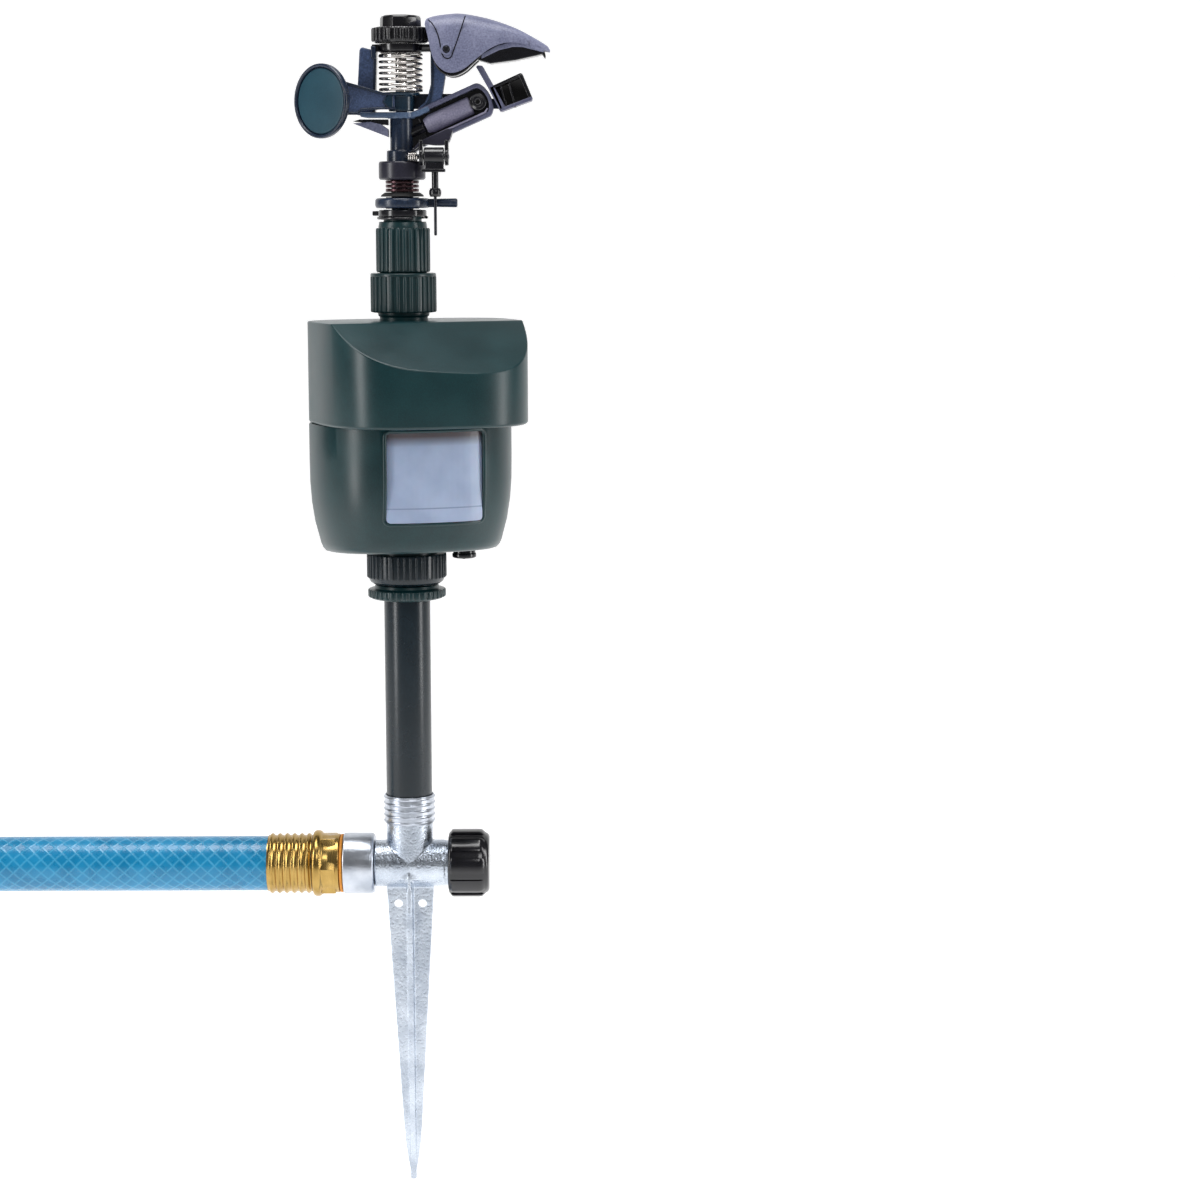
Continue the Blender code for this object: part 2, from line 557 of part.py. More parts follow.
def trip_lever():
    axis = aim((1, 0, 0), (0, LEVER_Y, LEVER_Z))
    pivot = (17, LEVER_Y, LEVER_Z)
    profile = [(0, 11.8), (4.6, 11.8), (4.6, 22.0), (0, 22.0)]
    drum = lathe("trip_lever", profile, "black_plastic", 20, axis, pivot)
    foot = block("lever_foot", (12.2, 22.4), (LEVER_Y - 3, LEVER_Y + 3), (371.4, 376))
    post = rod("lever_rod", 1.7, 360, 373, sides=12, frame=Matrix.Translation((17.3, LEVER_Y, 0)))
    fuse(drum, foot, post)
    cut(drum, rod("lever_bore", 1.5, 5, 30, sides=12, frame=axis))
    at = Matrix.Translation((17.3, LEVER_Y, 0))
    nut = [(2.05, 358.7), (2.9, 358.7), (2.9, 363), (2.05, 363)]
    lathe("rod_nut", nut, "black_plastic", 12, at)
    rod("trip_wire", 0.75, 339.3, 359.7, "steel", 8, at)
    rod("lever_axle", 1.2, 2.4, 24.6, "steel", 12, axis)


spike_tee()
riser_and_rings()
inlet()
drain_cap()
shell()
hood()
window()
inner_works()
neck()
head_body()
nozzle()
arm()
counterweight()
springs_and_cap()
deflector()
trip_lever()
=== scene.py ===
# %% [markdown]
# # Dressing a motion-activated impact sprinkler
# The sprinkler comes in as a set of exact but plain solids, already sorted into the bodies that
# move. This lesson gives each one its real surface: rounded mouldings, ribs, threads, wire and
# texture. Sizes are written in millimetres, because that is how such a part is drawn.

# %% Load the frame
import math

import bmesh
import bpy
from mathutils import Matrix, Vector


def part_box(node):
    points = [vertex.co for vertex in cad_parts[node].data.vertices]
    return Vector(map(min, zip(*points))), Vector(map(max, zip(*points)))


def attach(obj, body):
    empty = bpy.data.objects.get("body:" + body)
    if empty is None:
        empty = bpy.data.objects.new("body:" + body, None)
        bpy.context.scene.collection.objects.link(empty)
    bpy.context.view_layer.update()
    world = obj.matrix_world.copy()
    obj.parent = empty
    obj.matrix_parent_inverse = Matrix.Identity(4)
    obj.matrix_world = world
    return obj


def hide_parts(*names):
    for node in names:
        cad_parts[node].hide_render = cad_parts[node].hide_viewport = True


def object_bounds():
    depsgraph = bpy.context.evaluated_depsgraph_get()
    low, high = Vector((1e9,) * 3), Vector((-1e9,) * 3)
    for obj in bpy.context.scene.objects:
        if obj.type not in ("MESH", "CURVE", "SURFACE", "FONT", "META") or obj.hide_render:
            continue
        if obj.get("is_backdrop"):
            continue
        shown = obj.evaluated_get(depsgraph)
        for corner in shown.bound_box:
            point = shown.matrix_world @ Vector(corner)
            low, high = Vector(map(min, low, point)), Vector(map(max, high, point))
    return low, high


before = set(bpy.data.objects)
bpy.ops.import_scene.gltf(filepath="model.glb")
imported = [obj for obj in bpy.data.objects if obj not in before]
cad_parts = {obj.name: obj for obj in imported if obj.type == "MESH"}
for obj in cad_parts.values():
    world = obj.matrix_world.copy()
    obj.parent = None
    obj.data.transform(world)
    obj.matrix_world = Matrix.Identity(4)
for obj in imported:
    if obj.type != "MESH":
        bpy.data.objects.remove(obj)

MM = 0.001
scene = bpy.context.scene
cad_low, cad_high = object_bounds()


def span(node):
    """The lowest and highest corner of a solid, in millimetres."""
    low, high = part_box(node)
    return low / MM, high / MM


def middle(node):
    low, high = span(node)
    return (low + high) / 2


PIPE_Z = middle("end_cap").z
print("solids:", len(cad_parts), "pipe axis at", round(PIPE_Z, 1), "mm")

# %% [markdown]
# ## Camera
# The camera stands a metre and a half away, a little above the middle of the object and a little
# to its right. A long lens from far off keeps the verticals parallel, as a catalogue view does.

# %% Camera
EYE = Vector((99.8, -1487.9, 349.3))
PITCH, ROLL = math.radians(7.56), math.radians(-0.17)
camera = bpy.data.objects.new("camera", bpy.data.cameras.new("camera"))
camera.location = EYE * MM
camera.rotation_euler = (
    Matrix.Rotation(math.pi / 2 - PITCH, 3, "X") @ Matrix.Rotation(ROLL, 3, "Z")
).to_euler()
camera.data.lens = 87.0
camera.data.sensor_width = 36.0
scene.collection.objects.link(camera)
scene.camera = camera

# %% [markdown]
# ## Small tools for finishes
# Colours are picked as sRGB hex values and turned to linear by one function. A second function
# adds a node with its settings and links, so that each finish below reads like a recipe.


# %% Colour and node helpers
def linear(code, alpha=1.0):
    values = []
    for i in (1, 3, 5):
        c = int(code[i : i + 2], 16) / 255
        values.append(c / 12.92 if c <= 0.04045 else ((c + 0.055) / 1.055) ** 2.4)
    return (*values, alpha)


def add(tree, kind, inputs=None, **settings):
    """Adds a node. An input's value is a number, a colour or another node's output."""
    node = tree.nodes.new(kind)
    for name, value in settings.items():
        setattr(node, name, value)
    for name, value in (inputs or {}).items():
        if isinstance(value, bpy.types.NodeSocket):
            tree.links.new(value, node.inputs[name])
        else:
            node.inputs[name].default_value = value
    return node


def per_metre(size_mm):
    """A texture's scale so that one cell is this many millimetres."""
    return 1.0 / (size_mm * MM)


def blank(name):
    made = bpy.data.materials.new(name)
    made.use_nodes = True
    tree = made.node_tree
    shader = tree.nodes["Principled BSDF"]
    where = add(tree, "ShaderNodeTexCoord").outputs["Object"]
    return made, tree, shader, where


def shades(tree, factor, *stops):
    """A ramp from (position, hex colour) stops."""
    ramp = add(tree, "ShaderNodeValToRGB", {"Fac": factor})
    band = ramp.color_ramp
    band.elements[0].position, band.elements[0].color = stops[0][0], linear(stops[0][1])
    band.elements[1].position, band.elements[1].color = stops[-1][0], linear(stops[-1][1])
    for position, code in stops[1:-1]:
        band.elements.new(position).color = linear(code)
    return ramp.outputs["Color"]


def fit(tree, value, low, high):
    """Maps a 0..1 value to low..high."""
    made = add(tree, "ShaderNodeMapRange", {"Value": value, "To Min": low, "To Max": high})
    return made.outputs["Result"]


# %% [markdown]
# ## Studio
# A white sweep serves as floor and wall. Glossy plastic shows its lights as bright stripes, so
# the lights are long soft boxes at the left, the right and overhead, and they shape the cylinders.

# %% Studio
SWEEP_LOW = cad_low.z - 0.0006


def sweep():
    """A floor that curves up into a wall far behind the object."""
    profile = [(-6.0, 0.0), (2.2, 0.0)]
    for i in range(1, 13):
        angle = math.pi / 2 * i / 12
        profile.append((2.2 + 1.2 * math.sin(angle), 1.2 - 1.2 * math.cos(angle)))
    profile.append((3.4, 5.0))
    shape = bmesh.new()
    rows = [[shape.verts.new((x, y, SWEEP_LOW + z)) for y, z in profile] for x in (-6.0, 6.0)]
    for i in range(len(profile) - 1):
        shape.faces.new((rows[0][i], rows[1][i], rows[1][i + 1], rows[0][i + 1]))
    mesh = bpy.data.meshes.new("sweep")
    shape.to_mesh(mesh)
    mesh.shade_smooth()
    paper = bpy.data.materials.new("studio_paper")
    paper.use_nodes = True
    shader = paper.node_tree.nodes["Principled BSDF"]
    shader.inputs["Base Color"].default_value = (0.8, 0.8, 0.8, 1)
    shader.inputs["Roughness"].default_value = 0.9
    shader.inputs["Emission Color"].default_value = (1, 1, 1, 1)
    where = add(paper.node_tree, "ShaderNodeTexCoord").outputs["Object"]
    depth = add(paper.node_tree, "ShaderNodeSeparateXYZ", {"Vector": where}).outputs["Y"]
    glow = add(
        paper.node_tree, "ShaderNodeMapRange", {"Value": depth, "From Min": -0.9, "From Max": 0.02},
    )
    glow.inputs["To Min"].default_value = 0.1
    glow.inputs["To Max"].default_value = 0.62
    paper.node_tree.links.new(glow.outputs["Result"], shader.inputs["Emission Strength"])
    mesh.materials.append(paper)
    made = bpy.data.objects.new("sweep", mesh)
    scene.collection.objects.link(made)
    made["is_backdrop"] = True
    return made


def softbox(name, place, target, width, height, power):
    lamp = bpy.data.lights.new(name, "AREA")
    lamp.shape = "RECTANGLE"
    lamp.size, lamp.size_y, lamp.energy = width, height, power
    made = bpy.data.objects.new(name, lamp)
    made.location = place
    made.rotation_euler = (Vector(target) - Vector(place)).to_track_quat("-Z", "Y").to_euler()
    scene.collection.objects.link(made)


floor = sweep()
softbox("left_strip", (-1.25, -0.75, 0.55), (0, 0, 0.22), 0.26, 1.5, 12)
softbox("right_strip", (1.35, -0.35, 0.45), (0, 0, 0.22), 0.25, 1.4, 9)
softbox("front_fill", (0.7, -2.2, 1.6), (0, 0, 0.2), 0.8, 0.7, 10)
softbox("overhead", (0.0, -0.2, 1.7), (0, 0, 0.2), 1.1, 0.8, 21)
scene.world = bpy.data.worlds.new("studio")
scene.world.use_nodes = True
scene.world.node_tree.nodes["Background"].inputs["Color"].default_value = (1, 1, 1, 1)
scene.world.node_tree.nodes["Background"].inputs["Strength"].default_value = 0.11
scene.view_settings.view_transform = "Standard"

# %% [markdown]
# ## Moulded plastics
# ABS and nylon leave the mould with the mould's own skin: polished steel gives a gloss, and spark
# erosion gives a fine leathery grain. One recipe serves both: a fine noise for the grain, a broad
# one for the handling marks that make the sheen uneven. IOR is 1.53, typical of ABS and nylon.


# %% Moulded plastics
def moulded(name, dark, light, grain_mm, depth_mm, sheen_low, sheen_high, coat=0.0):
    made, tree, shader, where = blank(name)
    grain = add(
        tree, "ShaderNodeTexNoise", {"Vector": where, "Scale": per_metre(grain_mm), "Detail": 3.0},
    )
    broad = add(tree, "ShaderNodeTexNoise", {"Vector": where, "Scale": per_metre(22.0), "Detail": 5.0})
    mix = add(tree, "ShaderNodeMath", {0: grain.outputs["Fac"], 1: broad.outputs["Fac"]}, operation="ADD")
    half = add(tree, "ShaderNodeMath", {0: mix.outputs[0], 1: 0.5}, operation="MULTIPLY")
    colour = shades(tree, half.outputs[0], (0.38, dark), (0.62, light))
    tree.links.new(colour, shader.inputs["Base Color"])
    tree.links.new(fit(tree, broad.outputs["Fac"], sheen_low, sheen_high), shader.inputs["Roughness"])
    bump = add(
        tree,
        "ShaderNodeBump",
        {"Height": grain.outputs["Fac"], "Strength": 0.6, "Distance": depth_mm * MM},
    )
    tree.links.new(bump.outputs["Normal"], shader.inputs["Normal"])
    shader.inputs["IOR"].default_value = 1.49
    shader.inputs["Coat Weight"].default_value = coat
    shader.inputs["Coat Roughness"].default_value = 0.15
    return made


GREEN_ABS = moulded("green_abs_satin", "#04262A", "#093337", 0.6, 0.02, 0.26, 0.38)
NUT_ABS = moulded("green_abs_ribbed", "#052124", "#0C3034", 0.6, 0.02, 0.24, 0.36)
RISER_ABS = moulded("green_abs_extruded", "#09161D", "#102029", 0.8, 0.015, 0.22, 0.32)
SLATE_NYLON = moulded("slate_nylon_spark_grain", "#565A75", "#7F829C", 0.9, 0.10, 0.36, 0.5)
BLUE_NYLON = moulded("blue_nylon_spark_grain", "#22304A", "#43557A", 0.8, 0.12, 0.34, 0.48)
NAVY_NYLON = moulded("navy_nylon_polished", "#141D2C", "#222F44", 0.8, 0.02, 0.2, 0.32)
BLACK_NYLON = moulded("black_nylon_gloss", "#08080B", "#14141A", 0.7, 0.01, 0.14, 0.26, coat=0.3)
LOOP_NYLON = moulded("graphite_nylon_satin", "#42435A", "#5A5C74", 0.8, 0.06, 0.28, 0.42)
SKY_NYLON = moulded("blue_nylon_satin", "#3A4C66", "#5A6E8C", 0.8, 0.03, 0.24, 0.36)
PLUM_NYLON = moulded("plum_black_nylon", "#1C1B26", "#2B2A38", 0.7, 0.02, 0.25, 0.36)
SLEEVE_NYLON = moulded("violet_grey_nylon_grain", "#66647C", "#8D8AA0", 0.9, 0.14, 0.42, 0.55)
HUB_NYLON = moulded("hub_nylon_polished", "#0F1F2E", "#1B3344", 0.8, 0.02, 0.16, 0.28)
TEAL_ABS = moulded("teal_abs_satin", "#143A49", "#1B4655", 0.6, 0.01, 0.3, 0.42)

# %% [markdown]
# ## Metals
# Die-cast zinc has a slightly grainy skin where it cooled against the die, brass from a lathe has
# fine rings, and spring wire is bright and drawn smooth. A metal keeps the default IOR, so only
# its colour, roughness and bump change.


# %% Metals
def metal(name, dark, light, grain_mm, depth_mm, rough_low, rough_high, detail=4.0):
    made, tree, shader, where = blank(name)
    grain = add(
        tree, "ShaderNodeTexNoise", {"Vector": where, "Scale": per_metre(grain_mm), "Detail": detail},
    )
    stain = add(tree, "ShaderNodeTexNoise", {"Vector": where, "Scale": per_metre(16.0), "Detail": 6.0})
    colour = shades(tree, stain.outputs["Fac"], (0.35, dark), (0.65, light))
    tree.links.new(colour, shader.inputs["Base Color"])
    tree.links.new(fit(tree, grain.outputs["Fac"], rough_low, rough_high), shader.inputs["Roughness"])
    bump = add(
        tree,
        "ShaderNodeBump",
        {"Height": grain.outputs["Fac"], "Strength": 0.7, "Distance": depth_mm * MM},
    )
    tree.links.new(bump.outputs["Normal"], shader.inputs["Normal"])
    shader.inputs["Metallic"].default_value = 1.0
    return made


def turned_metal(name, dark, light, ring_mm, rough_low, rough_high):
    """Metal from a lathe whose axis is X: fine rings across the axis."""
    made, tree, shader, where = blank(name)
    along = add(tree, "ShaderNodeSeparateXYZ", {"Vector": where}).outputs["X"]
    ring = add(
        tree,
        "ShaderNodeTexNoise",
        {"W": along, "Scale": per_metre(ring_mm), "Detail": 4.0},
        noise_dimensions="1D",
    )
    stain = add(tree, "ShaderNodeTexNoise", {"Vector": where, "Scale": per_metre(9.0), "Detail": 5.0})
    colour = shades(tree, stain.outputs["Fac"], (0.35, dark), (0.65, light))
    tree.links.new(colour, shader.inputs["Base Color"])
    tree.links.new(fit(tree, ring.outputs["Fac"], rough_low, rough_high), shader.inputs["Roughness"])
    bump = add(
        tree, "ShaderNodeBump", {"Height": ring.outputs["Fac"], "Strength": 0.5, "Distance": 0.03 * MM},
    )
    tree.links.new(bump.outputs["Normal"], shader.inputs["Normal"])
    shader.inputs["Metallic"].default_value = 1.0
    return made


CAST_ZINC = metal("zinc_die_cast", "#AEB7C4", "#CDD5E0", 1.2, 0.34, 0.2, 0.36)
PLATED_ZINC = metal("zinc_plated_bright", "#AEB5C0", "#D3D8E1", 1.4, 0.12, 0.24, 0.36)
BRASS = turned_metal("brass_turned", "#A6874A", "#BC9C5C", 0.7, 0.22, 0.3)
SPRING_STEEL = metal("spring_steel_drawn", "#C9C4C0", "#E9E5E2", 1.0, 0.01, 0.12, 0.22)
SCREW_STEEL = metal("screw_steel_blacked", "#2A2B30", "#4A4B52", 1.0, 0.01, 0.25, 0.4)
COPPER = metal("winding_copper", "#8F4A2C", "#B8673F", 0.8, 0.05, 0.25, 0.4)
BRONZE = metal("washer_bronze_dark", "#2A2124", "#5A4346", 1.2, 0.02, 0.2, 0.35)

# %% [markdown]
# ## Rubber, the sensor's lens and the hose
# Seals are matte. The lens is milky polyethylene: light enters and scatters, so a little
# subsurface softens it. The hose is clear vinyl over a braid: the braid's two families of threads
# run round the tube as opposite helices, so they are drawn from the angle about its axis.


# %% Rubber and lens
def rubber(name, dark, light):
    made, tree, shader, where = blank(name)
    grain = add(tree, "ShaderNodeTexNoise", {"Vector": where, "Scale": per_metre(1.2), "Detail": 5.0})
    colour = shades(tree, grain.outputs["Fac"], (0.3, dark), (0.7, light))
    tree.links.new(colour, shader.inputs["Base Color"])
    tree.links.new(fit(tree, grain.outputs["Fac"], 0.5, 0.75), shader.inputs["Roughness"])
    bump = add(
        tree, "ShaderNodeBump", {"Height": grain.outputs["Fac"], "Strength": 0.4, "Distance": 0.05 * MM},
    )
    tree.links.new(bump.outputs["Normal"], shader.inputs["Normal"])
    return made


def sheet_lens():
    """Milky sheet with fine upright steps, one level step near its foot, and painted shade across its
    top, where the hood's shadow falls.
    """
    made, tree, shader, where = blank("lens_polyethylene")
    split = add(tree, "ShaderNodeSeparateXYZ", {"Vector": where})
    steps = add(
        tree,
        "ShaderNodeTexWave",
        {"Vector": where, "Scale": per_metre(9.0), "Distortion": 0.0},
        bands_direction="X",
    )
    edge = add(
        tree,
        "ShaderNodeMath",
        {0: split.outputs["Z"], 1: 204.5 * MM, 2: 0.35 * MM},
        operation="COMPARE",
    )
    soft = add(tree, "ShaderNodeTexNoise", {"Vector": where, "Scale": per_metre(18.0), "Detail": 3.0})
    colour = shades(tree, soft.outputs["Fac"], (0.3, "#93A2BF"), (0.7, "#A6B5D0"))
    lined = add(
        tree,
        "ShaderNodeMix",
        {0: edge.outputs[0], 6: colour, 7: linear("#8492AF")},
        data_type="RGBA",
    )
    # Painted shade: the top of the lens is mixed towards dark grey, for the shadow that the hood casts on
    # it.
    band = add(
        tree, "ShaderNodeMapRange",
        {"Value": split.outputs["Z"], "From Min": 235.5 * MM, "From Max": 240.5 * MM},
    )
    painted_hood_shadow = add(
        tree,
        "ShaderNodeMix",
        {0: band.outputs["Result"], 6: lined.outputs[2], 7: linear("#5A5458")},
        data_type="RGBA",
    )
    tree.links.new(painted_hood_shadow.outputs[2], shader.inputs["Base Color"])
    tree.links.new(fit(tree, soft.outputs["Fac"], 0.28, 0.4), shader.inputs["Roughness"])
    bump = add(
        tree, "ShaderNodeBump", {"Height": steps.outputs["Fac"], "Strength": 0.3, "Distance": 0.05 * MM},
    )
    tree.links.new(bump.outputs["Normal"], shader.inputs["Normal"])
    shader.inputs["Subsurface Weight"].default_value = 0.2
    shader.inputs["Subsurface Scale"].default_value = 1.5 * MM
    return made


BLACK_RUBBER = rubber("seal_rubber", "#0B0B0C", "#1A1A1C")
ORANGE_RUBBER = rubber("orange_rubber", "#C9791A", "#E59A35")
LENS_PE = sheet_lens()


# %% Braided hose
def braided_vinyl():
    made, tree, shader, where = blank("vinyl_hose_braided")
    split = add(tree, "ShaderNodeSeparateXYZ", {"Vector": where})
    up = add(tree, "ShaderNodeMath", {0: split.outputs["Z"], 1: PIPE_Z * MM}, operation="SUBTRACT")
    turn = add(tree, "ShaderNodeMath", {0: split.outputs["Y"], 1: up.outputs[0]}, operation="ARCTAN2")
    threads_round = 26
    around = add(
        tree, "ShaderNodeMath", {0: turn.outputs[0], 1: threads_round / math.tau}, operation="MULTIPLY",
    )
    along = add(tree, "ShaderNodeMath", {0: split.outputs["X"], 1: per_metre(3.6)}, operation="MULTIPLY")
    lines = []
    for way in ("ADD", "SUBTRACT"):
        helix = add(tree, "ShaderNodeMath", {0: around.outputs[0], 1: along.outputs[0]}, operation=way)
        tooth = add(tree, "ShaderNodeMath", {0: helix.outputs[0], 1: 1.0}, operation="PINGPONG")
        line = add(
            tree, "ShaderNodeMapRange", {"Value": tooth.outputs[0], "From Min": 0.0, "From Max": 0.3},
        )
        line.inputs["To Min"].default_value = 1.0
        line.inputs["To Max"].default_value = 0.0
        lines.append(line.outputs["Result"])
    braid = add(tree, "ShaderNodeMath", {0: lines[0], 1: lines[1]}, operation="MAXIMUM")
    cloud = add(tree, "ShaderNodeTexNoise", {"Vector": where, "Scale": per_metre(12.0), "Detail": 4.0})
    vinyl = shades(tree, cloud.outputs["Fac"], (0.35, "#06719E"), (0.65, "#1583B2"))
    colour = add(
        tree,
        "ShaderNodeMix",
        {0: fit(tree, braid.outputs[0], 0.0, 0.5), 6: vinyl, 7: linear("#4FAAD0")},
        data_type="RGBA",
    )
    tree.links.new(colour.outputs[2], shader.inputs["Base Color"])
    tree.links.new(fit(tree, cloud.outputs["Fac"], 0.2, 0.36), shader.inputs["Roughness"])
    bump = add(
        tree, "ShaderNodeBump", {"Height": braid.outputs[0], "Strength": 0.5, "Distance": 0.25 * MM},
    )
    tree.links.new(bump.outputs["Normal"], shader.inputs["Normal"])
    shader.inputs["IOR"].default_value = 1.5
    shader.inputs["Coat Weight"].default_value = 0.2
    shader.inputs["Coat Roughness"].default_value = 0.12
    return made


HOSE_VINYL = braided_vinyl()

# %% [markdown]
# ## Shaping tools
# Most pieces here are turned or pressed in a mould, so three tools do nearly all of the work: a
# lathe whose profile gets small fillets, a plate cut from an outline with bevelled edges, and a
# loft. Real corners are never perfectly sharp, and the fillets are what catch the light.


# %% Fillets and smooth lines
def softened(outline, radius=0.4, steps=3):
    """Rounds each corner of a closed (a, b) outline; points on the axis stay."""
    made = []
    count = len(outline)
    for i, corner in enumerate(outline):
        b = Vector(corner)
        if abs(b.x) < 1e-6:
            made.append(b)
            continue
        back = Vector(outline[i - 1]) - b
        fore = Vector(outline[(i + 1) % count]) - b
        reach = min(radius, back.length * 0.45, fore.length * 0.45)
        start = b + back.normalized() * reach
        end = b + fore.normalized() * reach
        for k in range(steps + 1):
            t = k / steps
            made.append(start * (1 - t) ** 2 + b * 2 * t * (1 - t) + end * t**2)
    return made


def flowing(points, steps=6):
    """A smooth line through points, by Catmull-Rom."""
    ends = [Vector(p) for p in points]
    ends = [ends[0] * 2 - ends[1]] + ends + [ends[-1] * 2 - ends[-2]]
    made = []
    for i in range(1, len(ends) - 2):
        a, b, c, d = ends[i - 1 : i + 3]
        for k in range(steps):
            t = k / steps
            made.append(
                (
                    (b * 2) + (c - a) * t + (
                        a * 2 - b * 5 + c * 4 - d
                    ) * t**2 + (b * 3 - a - c * 3 + d) * t**3
                ) / 2
            )
    made.append(ends[-2])
    return made


def aim(direction, at=(0, 0, 0)):
    """The matrix that turns local Z to a direction and moves to a place, in millimetres."""
    turn = Vector(direction).normalized().to_track_quat("Z", "Y").to_matrix().to_4x4()
    return Matrix.Translation(Vector(at)) @ turn


ALONG_X = aim((1, 0, 0), (0, 0, PIPE_Z))


# %% Making a piece
def shape_of(name, points, faces, finish, sharp=35.0):
    """A new object from points in millimetres, its faces turned outwards."""
    mesh = bpy.data.meshes.new(name)
    mesh.from_pydata([Vector(p) * MM for p in points], [], faces)
    work = bmesh.new()
    work.from_mesh(mesh)
    bmesh.ops.recalc_face_normals(work, faces=work.faces)
    work.to_mesh(mesh)
    work.free()
    mesh.shade_smooth()
    mesh.set_sharp_from_angle(angle=math.radians(sharp))
    mesh.materials.append(finish)
    made = bpy.data.objects.new(name, mesh)
    scene.collection.objects.link(made)
    return made


def lofted(name, rings, finish, ring_closed=False, sharp=35.0):
    count = len(rings[0])
    points = [p for ring in rings for p in ring]
    faces = []
    for i in range(len(rings) if ring_closed else len(rings) - 1):
        low, high = i * count, (i + 1) % len(rings) * count
        for j in range(count):
            k = (j + 1) % count
            faces.append((low + j, low + k, high + k, high + j))
    if not ring_closed:
        faces.append(tuple(range(count - 1, -1, -1)))
        faces.append(tuple(range(len(points) - count, len(points))))
    return shape_of(name, points, faces, finish, sharp)


def turned(name, profile, finish, place=None, fillet=0.4, steps=96, sharp=35.0):
    """Turns a (radius, height) profile about local Z. One that starts and ends on the axis is
    solid, and any other is a ring."""
    place = place or Matrix.Identity(4)
    outline = softened(profile, fillet) if fillet else [Vector(p) for p in profile]
    points, faces, rows = [], [], []
    for radius, height in outline:
        if radius < 1e-6:
            rows.append([len(points)])
            points.append(place @ Vector((0, 0, height)))
            continue
        rows.append(list(range(len(points), len(points) + steps)))
        for j in range(steps):
            a = math.tau * j / steps
            points.append(place @ Vector((radius * math.cos(a), radius * math.sin(a), height)))
    pairs = list(zip(rows, rows[1:]))
    if outline[0].x > 1e-6:
        pairs.append((rows[-1], rows[0]))
    for low, high in pairs:
        for j in range(steps):
            k = (j + 1) % steps
            if len(low) == 1:
                faces.append((low[0], high[k], high[j]))
            elif len(high) == 1:
                faces.append((low[j], low[k], high[0]))
            else:
                faces.append((low[j], low[k], high[k], high[j]))
    return shape_of(name, points, faces, finish, sharp)


def plate(name, outline, near, far, finish, place=None, bevel=0.35):
    """Extrudes an (x, z) outline from y = near to y = far and rounds its edges."""
    place = place or Matrix.Identity(4)
    rings = [[place @ Vector((p[0], y, p[1])) for p in outline] for y in (near, far)]
    made = lofted(name, rings, finish)
    if bevel:
        soft = made.modifiers.new("edges", "BEVEL")
        soft.width, soft.segments, soft.limit_method = bevel * MM, 3, "ANGLE"
        soft.angle_limit = math.radians(30)
        soft.harden_normals = False
    return made


def block(name, x, y, z, finish, place=None, bevel=0.35):
    outline = [(x[0], z[0]), (x[1], z[0]), (x[1], z[1]), (x[0], z[1])]
    return plate(name, outline, y[0], y[1], finish, place, bevel)


# %% Applying and joining
def plain(piece):
    """Bakes the modifiers into a plain mesh and removes them."""
    graph = bpy.context.evaluated_depsgraph_get()
    mesh = bpy.data.meshes.new_from_object(piece.evaluated_get(graph))
    piece.modifiers.clear()
    piece.data = mesh
    return piece


def gathered(name, *parts):
    """Several shapes as one object; they keep their own materials."""
    work = bmesh.new()
    finishes = []
    for part in parts:
        plain(part)
        offset = []
        for finish in part.data.materials:
            if finish not in finishes:
                finishes.append(finish)
            offset.append(finishes.index(finish))
        before = len(work.faces)
        work.from_mesh(part.data)
        work.faces.ensure_lookup_table()
        for face in work.faces[before:]:
            face.material_index = offset[min(face.material_index, len(offset) - 1)]
        bpy.data.objects.remove(part)
    mesh = bpy.data.meshes.new(name)
    work.to_mesh(mesh)
    work.free()
    for finish in finishes:
        mesh.materials.append(finish)
    made = bpy.data.objects.new(name, mesh)
    scene.collection.objects.link(made)
    return made


def cast_as_one(name, finish, voxel_mm, *parts, smoothing=3):
    """Melts overlapping shapes into one skin with soft inner corners, as a moulding has."""
    made = gathered(name, *parts)
    skin = made.modifiers.new("skin", "REMESH")
    skin.mode, skin.voxel_size = "VOXEL", voxel_mm * MM
    relax = made.modifiers.new("relax", "SMOOTH")
    relax.factor, relax.iterations = 0.5, smoothing
    plain(made)
    made.data.materials.clear()
    made.data.materials.append(finish)
    made.data.shade_smooth()
    print(name, "has", len(made.data.polygons), "faces")
    return made


def carved(piece, *tools):
    """Cuts the tools out of the piece."""
    for tool in tools:
        plain(tool)
        cut = piece.modifiers.new("cut", "BOOLEAN")
        cut.operation, cut.solver, cut.object = "DIFFERENCE", "EXACT", tool
        plain(piece)
        bpy.data.objects.remove(tool)
    return piece


def eased(part, width, segments=3):
    soft = part.modifiers.new("edges", "BEVEL")
    soft.width, soft.segments, soft.limit_method = width * MM, segments, "ANGLE"
    soft.angle_limit = math.radians(32)
    plain(part)
    part.data.set_sharp_from_angle(angle=math.radians(40))
    return part


def settle(piece, body, slot, *nodes):
    """The piece rides on its body and stands for its solids, which it hides; the slot argument is not
    used.
    """
    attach(piece, body)
    if nodes:
        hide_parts(*nodes)
    return piece


# %% [markdown]
# ## Rows and windings with Geometry Nodes
# Ribs, knurls, thread crests, grips and coils repeat by a rule, which is what Geometry Nodes do
# well. One tree copies a small shape round an axis and along it, and another winds a wire. The
# results are made real meshes, because an export doesn't keep instances.


# %% A tree that repeats a shape
def sockets(tree, *wanted):
    made = {}
    for name, kind in wanted:
        made[name] = tree.interface.new_socket(name=name, in_out="INPUT", socket_type=kind).identifier
    tree.interface.new_socket(name="Geometry", in_out="OUTPUT", socket_type="NodeSocketGeometry")
    return made


def finish_tree(tree, shape, finish):
    real = add(tree, "GeometryNodeRealizeInstances", {"Geometry": shape})
    coated = add(tree, "GeometryNodeSetMaterial", {"Geometry": real.outputs[0], "Material": finish})
    add(tree, "NodeGroupOutput", {"Geometry": coated.outputs[0]})


